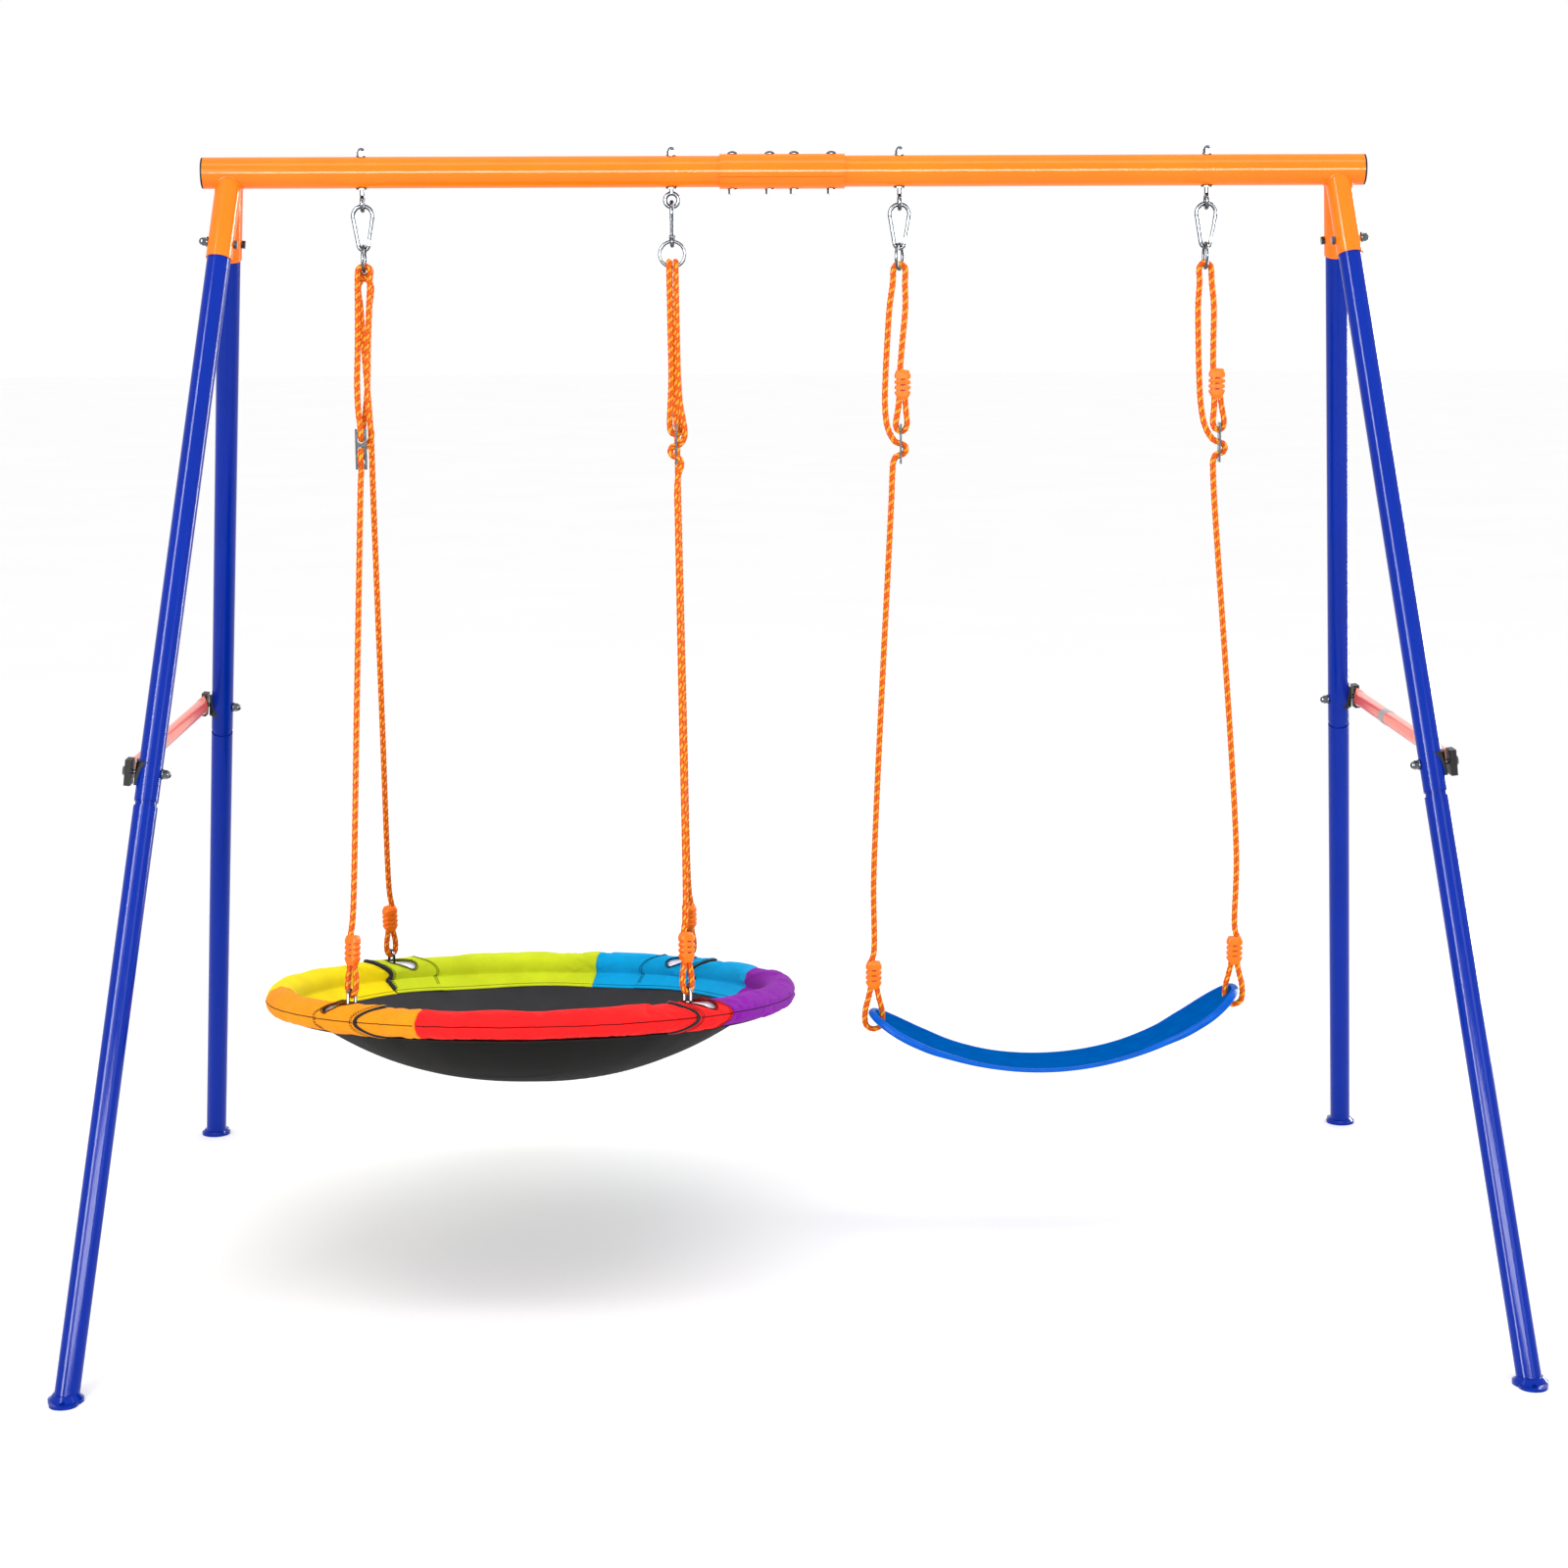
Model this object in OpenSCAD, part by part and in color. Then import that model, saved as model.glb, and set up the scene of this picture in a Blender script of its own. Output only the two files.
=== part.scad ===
// Two-seat garden swing set: a splayed tube frame carrying a padded saucer swing and a belt swing.
// Origin: on the ground, midway between the feet. +X runs along the top tube, +Z is up.

/* [Frame] */
// Length of the whole top tube
beam_len = 1900; // [1800:10:2000]
// Outer diameter of the top tube
beam_d = 51; // [48:1:54]
// Height of the top tube's axis above the ground
beam_h = 1826; // [1780:1:1880]
// Distance from the middle to each leg pair, along the top tube's axis
leg_top_x = 907; // [890:1:920]
// Distance from the middle to each leg pair, at the ground
foot_x = 1104; // [1080:1:1130]
// Distance from the top tube's vertical plane to each foot
foot_y = 727; // [700:1:760]
// Outer diameter of the legs
leg_d = 38; // [36:1:40]
// Wall thickness of every frame tube
wall = 2; // [1.5:0.1:2.5]
// Outer diameter of the welded leg sockets
socket_d = 42.4; // [42.4:0.1:44]
// Length of a socket from the top tube's axis
socket_len = 149; // [140:1:160]
// Distance down a leg to the joint between its two tubes
leg_joint = 1053; // [1040:1:1080]
// Distance down a leg to its cross brace
brace_drop = 1007; // [990:1:1012]
// Diameter of the cross braces
brace_d = 25; // [22:1:28]
// Distance of each ground anchor hole outside its leg
anchor_out = 28; // [27:1:32]
// Diameter of the ground anchor holes
anchor_d = 9; // [8:1:10]

/* [Splice sleeve] */
// Length of the split sleeve over the top tube's joint
sleeve_len = 205; // [190:1:220]
// Outer diameter of the sleeve
sleeve_d = 57; // [56:0.5:60]
// Offset of the top tube's joint from the middle
splice_x = -6; // [-10:1:10]

/* [Hanging points] */
// Distance from the middle to the two inner eye bolts
eye_in = 187; // [180:1:195]
// Distance from the middle to the two outer eye bolts
eye_out = 693; // [680:1:700]
// Height of the axis that the seats swing about
hang_z = 1772; // [1768:1:1776]
// Wire diameter of the eye bolts and snap hooks
wire_d = 7; // [6.5:0.5:7]
// Outer diameter of the steel rings
ring_od = 47; // [45:1:50]

/* [Saucer swing] */
// Radius of the padded rim's centre line
rim_r = 420; // [400:5:440]
// Diameter of the padded rim
pad_d = 50; // [46:1:52]
// Diameter of the steel rim tube
rim_tube_d = 25; // [22:1:28]
// Height of the rim's centre above the ground
rim_z = 448; // [440:1:460]
// Tilt of the rim, front edge up
rim_tilt = 6.5; // [0:0.5:8]
// Depth of the fabric bowl below the rim's centre line
bowl_depth = 140; // [120:1:150]

/* [Belt swing] */
// Width of the belt seat
belt_w = 124; // [110:1:140]
// Width of the belt seat's round ends
belt_lobe = 134; // [124:1:150]
// Thickness of the belt seat
belt_t = 6; // [5:0.5:7]
// Distance between the belt seat's two tips
belt_span = 634; // [620:1:650]
// Sag of the belt seat below its tips
belt_sag = 112; // [100:1:120]
// Tilt of the belt seat, right end up
belt_tilt = 3.5; // [0:0.5:4]

/* [Rope] */
// Diameter of the ropes
rope_d = 10; // [9.6:0.1:10]

/* [Hidden] */
$fn = 48;
eps = 0.01;
lean = atan((foot_x - leg_top_x) / beam_h);       // outward lean of a leg pair
side_h = norm([foot_x - leg_top_x, beam_h]);      // height of a leg pair in its own plane
leg_a = atan(foot_y / side_h);                    // spread of one leg in that plane
leg_len = norm([foot_y, side_h]);
leg_r = leg_d / 2;
neck_d = leg_d - 2 * wall - 0.4;                  // swaged end of the lower leg tube
neck_show = 8;                                    // length of that neck left in sight
neck_in = 78;                                     // length of that neck inside the upper tube
socket_bolt_s = 122;                              // distance down a leg to its socket bolt
leg_start = 62;                                   // distance down a leg to its top end
bolt_d = 8;
bolt_hole = 8.6;
foot_t = 5;
foot_r = 27;
toe_out = 18;                                     // the foot's toe for the anchor, out from the leg
toe_plate_r = 22;
sleeve_bolts_x = [-81, -20, 20, 81];
seam_z = -9;                                      // sleeve's split line below the top tube's axis
eye_xs = [-eye_out, -eye_in, eye_in, eye_out];

// Brace stack, measured out from the leg's axis
saddle_t = 4;
cap_in = leg_r + 8;
cap_t = 10;
cap_back = 12;                                    // cap's length inside the bolt, and past the brace's tip
cap_tip = 4;
cap_rim = 3.5;                                    // cap above and below the flattened end
slot_play = 0.3;
saddle_w = 26;
saddle_h = 38;
flat_t = 4;                                       // thickness of a brace's flattened end
flat_w = 34;                                      // width of that end
flat_in = 16;                                     // how far it runs inside the bolt, and outside it
flat_out = 15;
flare = 30;                                       // length over which the tube flattens
brace_x = cap_in + cap_t / 2;

// Eye bolt: bow wire of an in-line hook turns inside the eye
wire_r = wire_d / 2;
eye_r = 11;
eye_lift = 3.6;                                   // eye centre above the swing axis, in-line hooks
cross_eye_drop = 3.2;                             // eye wire below the swing axis, crossed hook
cross_gap = 1.6;

// Snap hook: big bow on top, small bow below, joined by straight arms
bow_r = 16;
toe_r = 8;
hook_h = 78;
hook_c = hook_h - 2 * wire_r - bow_r - toe_r;     // distance between the two bow centres
arm_a = asin((bow_r - toe_r) / hook_c);
arm_len = hook_c * cos(arm_a);
nose_len = 11;                                    // fixed part of the gated arm under the big bow
gate_end = 39;                                    // distance down the arm to the gate's pivot
gate_r = 3;
pin_r = 1.2;
pin_play = 0.2;
ear_w = 5;                                        // ears that hold the gate's pin
ear_len = 9;
ear_t = 1.5;
ear_gap = 0.3;
bead_r = wire_r + 0.2;                            // round bead where a bow meets an arm
bead_gap = 0.3;                                   // how far each wire stops short of a bead's middle

// Height of each hook's big bow centre
bow_in_z = hang_z - bow_r;
bow_cross_z = hang_z - cross_eye_drop + wire_r + cross_gap - (bow_r - wire_r);
bow_z = [bow_in_z, bow_cross_z, bow_in_z, bow_in_z];
hook_turn = [0, -90, 0, 0];
ring_wire = 5.6;
ring_r = (ring_od - ring_wire) / 2;
ring_turn = [90, 0, 72, 90];                      // turn of each ring away from facing the front
function ring_z(i) = bow_z[i] - hook_c - toe_r + wire_r + 0.5 + ring_wire / 2 - ring_r;
function ring_low(i) = ring_z(i) - ring_r;        // centre of the wire that the ropes hang on

// Saucer rim points in the row's own frame
saucer_x = -(eye_in + eye_out) / 2;
function rim_pt(a, r = rim_r, z = 0) =
    let (x = r * cos(a), y = r * sin(a))
    [saucer_x + x, y * cos(rim_tilt) + z * sin(rim_tilt), rim_z - y * sin(rim_tilt) + z * cos(rim_tilt)];
hang_a = [230, 310, 130, 50];                     // front left, front right, back left, back right
window_a = [227.4, 312.6, 127.4, 52.6];
cover_a = [-40, 23, 76, 134, 188, 249, 320];      // where one colour of cover meets the next
window_wide = 34;                                 // opening in a cover, across the rim and along it
window_long = 68;
foam_gap_long = 72;                               // gap in the foam below each window
foam_d = pad_d - 5;
bowl_rim_r = 397;
bowl_rim_z = -12;
fabric_t = 2.5;

// Link and rope eye on the rim, measured from the rim tube's centre along the rope
staple_r = 9;
staple_wire = 5;
link_half = 8.2;
link_low = 24.4;
link_high = 38.4;
clamp_h = 110;
clamp_len = 48;
strand = 5.1;                                     // half the distance between two strands in a clamp

// Belt seat, an arc about an axis along Y
belt_x = 454;
belt_tip_z = 430;
belt_r = (pow(belt_span / 2, 2) + pow(belt_sag, 2)) / (2 * belt_sag);
belt_c_z = belt_tip_z - belt_sag + belt_r;
belt_hole = belt_span / 2 - 22;
belt_hole_d = 18;
belt_loop = 15;                                   // half-width of the rope's loop round the belt's end
belt_hole_drop = sqrt(belt_r * belt_r - belt_hole * belt_hole) - (belt_r - belt_sag);
function belt_pt(u, w) =                          // u along the chord, w above the line of the tips
    [belt_x + u * cos(belt_tilt) - w * sin(belt_tilt), 0,
     belt_tip_z + u * sin(belt_tilt) + w * cos(belt_tilt)];

// Rope routes. Each upper route is [dx, dy, s]: offsets from the straight line between ring and seat,
// at a distance s below the ring's lower wire.
loop_r = 10;
loop_s = 1.3;
// Left saucer rope: over the ring from side to side, adjuster facing the front
left_weave = [[0, 0, 400], [0, 0, 360], [0, 3, 334], [0, 8, 320], [0, 6, 310], [0, 0, 307], [0, -7, 304],
    [0, -9.5, 297.5], [0, -7, 291], [0, 0, 288], [4, 6, 286], [11, 9, 278], [16, 4, 266], [15, -3, 250],
    [11, -5.3, 220], [8, -5.3, 180], [8, -5.3, 120], [9, -5.3, 60], [10, -5.3, 20]];
left_return = [[-10, -5.3, 20], [-9, -5.3, 60], [-8, -5.3, 120], [-8, -5.5, 180], [-5, -7.5, 225],
    [-1, -9.5, 250], [0, -8.5, 264], [0, -4.6, 269], [0, 0, 270.5], [0, 4.6, 269], [0, 8.5, 264],
    [2, 9.5, 250], [5, 7.5, 225], [8, 5.5, 180], [8, 5.3, 120], [9, 5.3, 60], [10, 5.3, 20]];
left_back = [[-10, 5.3, 20], [-9, 5.3, 60], [-5, 4, 150], [0, 0, 260], [0, 0, 400]];
// Right saucer rope: over the ring from front to back, adjuster edge-on
right_weave = [[0, 0, 400], [0, 0, 360], [3, 0, 334], [8, 0, 320], [6, 0, 310], [0, 0, 307], [-7, 0, 304],
    [-9.5, 0, 297.5], [-7, 0, 291], [0, 0, 288], [6, -1, 286], [12, -5, 279], [15, -8.5, 267], [13, -9, 250],
    [8, -9, 220], [5.3, -9, 180], [5.3, -9, 120], [5.3, -9, 60], [5.3, -10, 20]];
right_return = [[5.3, 10, 20], [5.3, 9, 60], [5.3, 8, 120], [6, 7, 180], [8, 5, 225], [9.5, 3, 250],
    [8.5, 1, 264], [4.6, 0, 269], [0, 0, 270.5], [-4.6, 0, 269], [-8.5, -1, 264], [-9.5, -3, 250],
    [-8, -6, 225], [-5.5, -8, 180], [-5.3, -9, 120], [-5.3, -9, 60], [-5.3, -10, 20]];
right_back = [[-5.3, 10, 20], [-5.3, 9, 60], [-4, 4, 150], [0, 0, 260], [0, 0, 400]];
// Belt ropes: clamped end eye in the adjuster's top hole, loop over the ring, weave, then down
belt_eye = [[17.1, 0, 172], [17.1, 0, 192], [17.1, 0, 213], [19.5, 0, 235], [21.5, 0, 252], [19, 0, 262],
    [12, 0, 266], [5, 0, 262], [3, 0, 252], [5, 0, 235], [6.9, 0, 213], [6.9, 0, 165], [9, 0, 120],
    [12, 0, 60], [10, 0, 20]];
belt_weave = [[-10, 0, 20], [-14, 0, 60], [-16, 0, 120], [-17, 0, 180], [-16, 0, 225], [-11, 0, 258],
    [-2, 0, 277], [5, 0, 284], [12, 0, 286], [18.5, 0, 289], [21.5, 0, 295.5], [18.5, 0, 302],
    [12, 0, 305], [5, 0, 308], [1, 0, 316], [0, 0, 335], [0, 0, 370]];
plate_top = 253;                                  // adjuster plate, distances below the ring wire
plate_len = 66;
plate_w = 19;
plate_t = 3;
saucer_holes = [270.5, 288, 307];
belt_holes = [266, 286, 305];
belt_plate_x = 12;

// ---- placing helpers ----

module on_beam(x = 0) translate([x, 0, beam_h]) children();

// Children are drawn in a leg pair's own plane: +X outwards, origin midway between the feet
module side_plane(side) {
    mirror([side < 0 ? 1 : 0, 0, 0]) translate([foot_x, 0, 0]) rotate([0, -lean, 0]) children();
}

// Children are drawn at a distance s down one leg, with -Z pointing down the leg
module on_leg(side, depth, s) {
    side_plane(side) translate([0, 0, side_h]) rotate([depth * leg_a, 0, 0])
        translate([0, 0, -s]) children();
}

module every_leg(s) for (side = [-1, 1], depth = [-1, 1]) on_leg(side, depth, s) children();

module along(p, q) {
    v = q - p;
    translate(p) rotate([0, acos(v[2] / norm(v)), atan2(v[1], v[0])]) children();
}

module pipe(d, inner, h) difference() {
    cylinder(d = d, h = h);
    translate([0, 0, -1]) cylinder(d = inner, h = h + 2);
}

module torus(r, wire) rotate_extrude() translate([r, 0]) circle(d = wire);

module arc_wire(r, wire, start, sweep) rotate([0, 0, start])
    rotate_extrude(angle = sweep) translate([r, 0]) circle(d = wire);

// ---- fasteners ----

// Hex head at z = 0 and up, shank below
module hex_bolt(len) {
    cylinder(d = 14.5, h = 5.3, $fn = 6);
    translate([0, 0, -len]) cylinder(d = bolt_d, h = len + 1);
}

// Low round head at z = 0 and up, shank below
module round_bolt(len) {
    intersection() {
        translate([0, 0, -7.5]) sphere(r = 12);
        cylinder(d = 18, h = 6);
    }
    translate([0, 0, -len]) cylinder(d = bolt_d, h = len + 1);
}

// Washer and cap nut from z = 0 up, hollow for the bolt's end
module cap_nut() difference() {
    union() {
        cylinder(d = 17, h = 1.6);
        translate([0, 0, 1.6]) cylinder(d = 14.6, h = 6.5, $fn = 6);
        intersection() {
            translate([0, 0, 8]) sphere(r = 6.2);
            translate([0, 0, 7]) cylinder(d = 13, h = 8);
        }
    }
    translate([0, 0, -1]) cylinder(d = bolt_d + 0.2, h = 12);
}

// Washer and open nut from z = 0 up
module open_nut() difference() {
    union() {
        cylinder(d = 16, h = 1.6);
        translate([0, 0, 1.6]) cylinder(d = 14.6, h = 6.5, $fn = 6);
    }
    translate([0, 0, -1]) cylinder(d = bolt_d + 0.2, h = 12);
}

// ---- frame ----

// Bolt hole across a leg
module cross_hole() rotate([0, 90, 0]) cylinder(d = bolt_hole, h = 60, center = true);

module top_tube(side) {
    from = side < 0 ? -beam_len / 2 : splice_x + 0.5;
    to = side < 0 ? splice_x - 0.5 : beam_len / 2;
    color("darkorange") difference() {
        union() {
            translate([from, 0, beam_h]) rotate([0, 90, 0]) cylinder(d = beam_d, h = to - from);
            for (depth = [-1, 1]) on_leg(side, depth, socket_len) cylinder(d = socket_d, h = socket_len);
        }
        translate([from - 1, 0, beam_h]) rotate([0, 90, 0])
            cylinder(d = beam_d - 2 * wall, h = to - from + 2);
        for (depth = [-1, 1]) {
            on_leg(side, depth, socket_len + 1) cylinder(d = leg_d + 0.4, h = socket_len - leg_start + 3);
            on_leg(side, depth, socket_bolt_s) cross_hole();
        }
        for (x = eye_xs) on_beam(x) cylinder(d = bolt_hole, h = 80, center = true);
        for (x = sleeve_bolts_x) on_beam(splice_x + x) cylinder(d = bolt_hole, h = 80, center = true);
    }
}

module sleeve_half(up) color("darkorange") difference() {
    on_beam(splice_x) rotate([0, 90, 0]) translate([0, 0, -sleeve_len / 2])
        pipe(sleeve_d, beam_d + 0.3, sleeve_len);
    on_beam(splice_x) translate([-sleeve_len, -sleeve_d, up ? seam_z - 100 : seam_z - 0.8])
        cube([2 * sleeve_len, 2 * sleeve_d, 100]);
    for (x = sleeve_bolts_x) on_beam(splice_x + x) cylinder(d = bolt_hole, h = 80, center = true);
}

module sleeve_bolts() color("silver") for (x = sleeve_bolts_x)
    on_beam(splice_x + x) translate([0, 0, sleeve_d / 2]) round_bolt(sleeve_d + 9);

module sleeve_nuts() color("silver") for (x = sleeve_bolts_x)
    on_beam(splice_x + x) translate([0, 0, -sleeve_d / 2]) mirror([0, 0, 1]) open_nut();

module beam_end_caps() color("black") for (side = [-1, 1]) on_beam(side * beam_len / 2)
    rotate([0, side * 90, 0]) {
        cylinder(d = beam_d - 1, h = 3);
        translate([0, 0, -18]) cylinder(d = beam_d - 2 * wall - 0.3, h = 18 + eps);
    }

module upper_leg(side, depth) color("mediumblue") difference() {
    on_leg(side, depth, leg_joint) pipe(leg_d, leg_d - 2 * wall, leg_joint - leg_start);
    for (s = [socket_bolt_s, brace_drop]) on_leg(side, depth, s) cross_hole();
}

module lower_leg(side, depth) color("mediumblue") difference() {
    union() {
        difference() {
            on_leg(side, depth, leg_len + 30) cylinder(d = leg_d, h = leg_len + 30 - leg_joint - neck_show);
            translate([side * foot_x - 100, depth * foot_y - 100, -200]) cube([200, 200, 200]);
        }
        on_leg(side, depth, leg_joint + neck_show + 4) cylinder(d = neck_d, h = neck_in + neck_show + 4);
        translate([side * foot_x, depth * foot_y, 0]) {
            cylinder(r = foot_r, h = foot_t);
            translate([0, depth * toe_out, 0]) cylinder(r = toe_plate_r, h = foot_t);
            translate([0, 0, foot_t]) cylinder(r1 = foot_r - 1, r2 = leg_r, h = 8);
        }
    }
    on_leg(side, depth, leg_len - 30) cylinder(d = neck_d - 2 * wall, h = leg_len - leg_joint + neck_in);
    on_leg(side, depth, brace_drop) cross_hole();
    translate([side * foot_x, depth * (foot_y + anchor_out), -1]) cylinder(d = anchor_d, h = foot_t + 9);
}

module socket_bolts() color("silver") every_leg(socket_bolt_s)
    rotate([0, -90, 0]) translate([0, 0, socket_d / 2 + 0.3]) hex_bolt(socket_d + 9.5);

module socket_nuts() color("silver") every_leg(socket_bolt_s)
    rotate([0, 90, 0]) translate([0, 0, socket_d / 2 + 0.3]) cap_nut();

brace_y = brace_drop * sin(leg_a);
brace_plane_z = side_h - brace_drop * cos(leg_a);

module at_brace_end(side, depth) side_plane(side) translate([0, depth * brace_y, brace_plane_z])
    mirror([0, depth < 0 ? 1 : 0, 0]) children();

module brace(side) color("coral") difference() {
    side_plane(side) translate([brace_x, 0, brace_plane_z]) union() {
        rotate([90, 0, 0]) cylinder(d = brace_d, h = 2 * (brace_y - flat_in - flare), center = true);
        for (depth = [-1, 1]) mirror([0, depth < 0 ? 1 : 0, 0]) {
            hull() {
                translate([0, brace_y - flat_in - flare, 0]) rotate([90, 0, 0])
                    cylinder(d = brace_d, h = 2, $fn = 32);
                translate([-flat_t / 2, brace_y - flat_in - 1, -flat_w / 2]) cube([flat_t, 2, flat_w]);
            }
            translate([-flat_t / 2, brace_y - flat_in, -flat_w / 2])
                cube([flat_t, flat_in + flat_out, flat_w]);
        }
    }
    for (depth = [-1, 1]) at_brace_end(side, depth) rotate([0, 90, 0]) cylinder(d = bolt_hole, h = 90);
}

module brace_band() color("gray") side_plane(1) translate([brace_x, 120, brace_plane_z])
    rotate([90, 0, 0]) pipe(brace_d + 1.2, brace_d + 0.2, 34);

module brace_saddles() color("black") for (side = [-1, 1], depth = [-1, 1]) difference() {
    intersection() {
        at_brace_end(side, depth) translate([0, -saddle_w / 2, -saddle_h / 2])
            cube([leg_r + saddle_t, saddle_w, saddle_h]);
        on_leg(side, depth, brace_drop + 40) pipe(leg_d + 2 * saddle_t, leg_d + 0.2, 80);
    }
    at_brace_end(side, depth) rotate([0, 90, 0]) cylinder(d = bolt_hole, h = 60);
}

// Black shoe over a brace's flat end, with a slot that the end fits into
module brace_end_caps() color("black") for (side = [-1, 1], depth = [-1, 1])
    at_brace_end(side, depth) difference() {
        translate([cap_in, -cap_back, -flat_w / 2 - cap_rim])
            cube([cap_t, cap_back + flat_out + cap_tip, flat_w + 2 * cap_rim]);
        translate([brace_x - flat_t / 2 - slot_play, -cap_back - 1, -flat_w / 2 - slot_play])
            cube([flat_t + 2 * slot_play, cap_back + 1 + flat_out + slot_play, flat_w + 2 * slot_play]);
        rotate([0, 90, 0]) cylinder(d = bolt_hole, h = 60);
    }

module brace_bolts() color("silver") for (side = [-1, 1], depth = [-1, 1])
    at_brace_end(side, depth) translate([cap_in + cap_t, 0, 0]) rotate([0, 90, 0])
        hex_bolt(cap_in + cap_t + leg_r + 9.5);

module brace_nuts() color("silver") for (side = [-1, 1], depth = [-1, 1])
    at_brace_end(side, depth) translate([-leg_r - 0.3, 0, 0]) rotate([0, -90, 0]) cap_nut();

// ---- hanging hardware ----

eye_z = [hang_z + eye_lift, hang_z - cross_eye_drop + eye_r, hang_z + eye_lift, hang_z + eye_lift];

module eye_bolt(i) translate([eye_xs[i], 0, eye_z[i]]) {
    rotate([90, 0, i == 1 ? 0 : 90]) torus(eye_r, wire_d);
    translate([0, 0, eye_r]) cylinder(d = bolt_d, h = beam_h + beam_d / 2 + 9 - eye_z[i] - eye_r);
    translate([0, 0, beam_h - beam_d / 2 - 2 - eye_z[i]]) cylinder(d = 20, h = 1.9);
}

module eye_bolts() color("silver") for (i = [0 : 3]) eye_bolt(i);

module eye_bolt_nuts() color("silver") for (x = eye_xs)
    on_beam(x) translate([0, 0, beam_d / 2 + 0.1]) cap_nut();

// Children are drawn in a hook's own plane: X across, Y up, Z out of the plane, origin at the big bow
module hook_plane(i) translate([eye_xs[i], 0, bow_z[i]]) rotate([90, 0, hook_turn[i]]) children();

// Children are drawn at the top of the right arm, with -Y running down it
module hook_arm(i) hook_plane(i) rotate([0, 0, -arm_a]) translate([bow_r, 0, 0]) children();

// A straight wire from y = from down to y = to, both distances down an arm
module arm_wire(from, to) translate([0, -from, 0]) rotate([90, 0, 0]) cylinder(d = wire_d, h = to - from);

module snap_hook(i) {
    cut = bead_gap / bow_r * 180 / PI;
    toe_cut = bead_gap / toe_r * 180 / PI;
    hook_plane(i) {
        arc_wire(bow_r, wire_d, cut - arm_a, 180 + 2 * arm_a - 2 * cut);
        translate([0, -hook_c, 0])
            arc_wire(toe_r, wire_d, 180 + arm_a + toe_cut, 180 - 2 * arm_a - 2 * toe_cut);
        mirror([1, 0, 0]) rotate([0, 0, -arm_a]) translate([bow_r, 0, 0]) {
            arm_wire(bead_gap, arm_len - bead_gap);
            for (y = [0, arm_len]) translate([0, -y, 0]) sphere(r = bead_r);
        }
    }
    hook_arm(i) {
        arm_wire(bead_gap, nose_len);
        arm_wire(gate_end + 4, arm_len - bead_gap);
        for (y = [0, arm_len]) translate([0, -y, 0]) sphere(r = bead_r);
        for (out = [-1, 1]) translate([0, -gate_end - ear_len / 6, out * (gate_r + ear_gap + ear_t / 2)])
            cube([ear_w, ear_len, ear_t], center = true);
        translate([0, -gate_end, 0]) cylinder(r = pin_r, h = 2 * (gate_r + ear_t), center = true);
    }
}

module hook_gate(i) color("lightgray") hook_arm(i) difference() {
    union() {
        translate([0, -gate_end, 0]) rotate([-90, 0, 0]) cylinder(r = gate_r, h = gate_end - nose_len - 0.5);
        translate([0, -gate_end, -gate_r]) cylinder(r = gate_r, h = 2 * gate_r);
    }
    translate([0, -gate_end, -5]) cylinder(r = pin_r + pin_play, h = 10);
}

module snap_hooks(from) color("silver") for (i = [from, from + 1]) snap_hook(i);

module rings(from) color("silver") for (i = [from, from + 1])
    translate([eye_xs[i], 0, ring_z(i)]) rotate([90, 0, ring_turn[i]]) torus(ring_r, ring_wire);

// ---- ropes ----

function unit(v) = v / norm(v);

// A side direction for each ring of a tube, carried along so that the tube doesn't twist
function carried(t, i, n, done) = i == len(t) ? done :
    let (u = unit(n - (n * t[i]) * t[i])) carried(t, i + 1, u, concat(done, [u]));

module rope(points, sides = 8) {
    n = len(points);
    t = [for (i = [0 : n - 1]) unit(points[min(i + 1, n - 1)] - points[max(i - 1, 0)])];
    side = carried(t, 0, unit(cross(t[0], [0.3, 1, 0.1])), []);
    skin = [for (i = [0 : n - 1], k = [0 : sides - 1])
        let (a = 360 * k / sides)
        points[i] + rope_d / 2 * (cos(a) * side[i] + sin(a) * cross(t[i], side[i]))];
    faces = concat(
        [[for (k = [0 : sides - 1]) k]],
        [for (i = [0 : n - 2], k = [0 : sides - 1])
            let (a = i * sides + k, b = i * sides + (k + 1) % sides) [a, a + sides, b + sides, b]],
        [[for (k = [sides - 1 : -1 : 0]) (n - 1) * sides + k]]);
    polyhedron(points = skin, faces = faces, convexity = 10);
}

// A point at distance s below ring i's wire, on the line to a seat point, moved by [dx, dy]
function on_line(i, seat, p) =
    let (top = [eye_xs[i], 0, ring_low(i)], k = p[2] / (top[2] - seat[2]))
    top + (seat - top) * k + [p[0], p[1], 0];

// The turn over a ring's wire, from one side to the other, in the direction across
function over_ring(i, across, along_x, along_y) = [for (a = [180 : -30 : 0])
    [eye_xs[i], 0, ring_low(i)] + loop_r * cos(a) * across + [along_x, along_y, loop_r * sin(a) - loop_s]];

// The eye at the saucer's rim: clamp, loop through the link and back, then up the leg
function rim_eye(i, corner) =
    let (seat = rim_pt(hang_a[corner]), top = [eye_xs[i], 0, ring_low(i)], d = unit(top - seat),
         side = link_side(i, corner))
    [for (p = [[strand, 130], [strand, 108], [strand, 86], [8.8, 66], [9.2, 52], [7, 42.5], [0, 38],
               [-7, 42.5], [-9.2, 52], [-8.8, 66], [-strand, 86], [-strand, 134], [-2, 152], [0, 180],
               [0, 500]])
        seat + p[1] * d + p[0] * side];

// Direction along the rim at a corner, square to the rope
function link_side(i, corner) =
    let (a = hang_a[corner], seat = rim_pt(a), d = unit([eye_xs[i], 0, ring_low(i)] - seat),
         v = rim_pt(a + 1) - rim_pt(a - 1))
    unit(v - (v * d) * d);

function reversed(list) = [for (k = [len(list) - 1 : -1 : 0]) list[k]];

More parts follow.
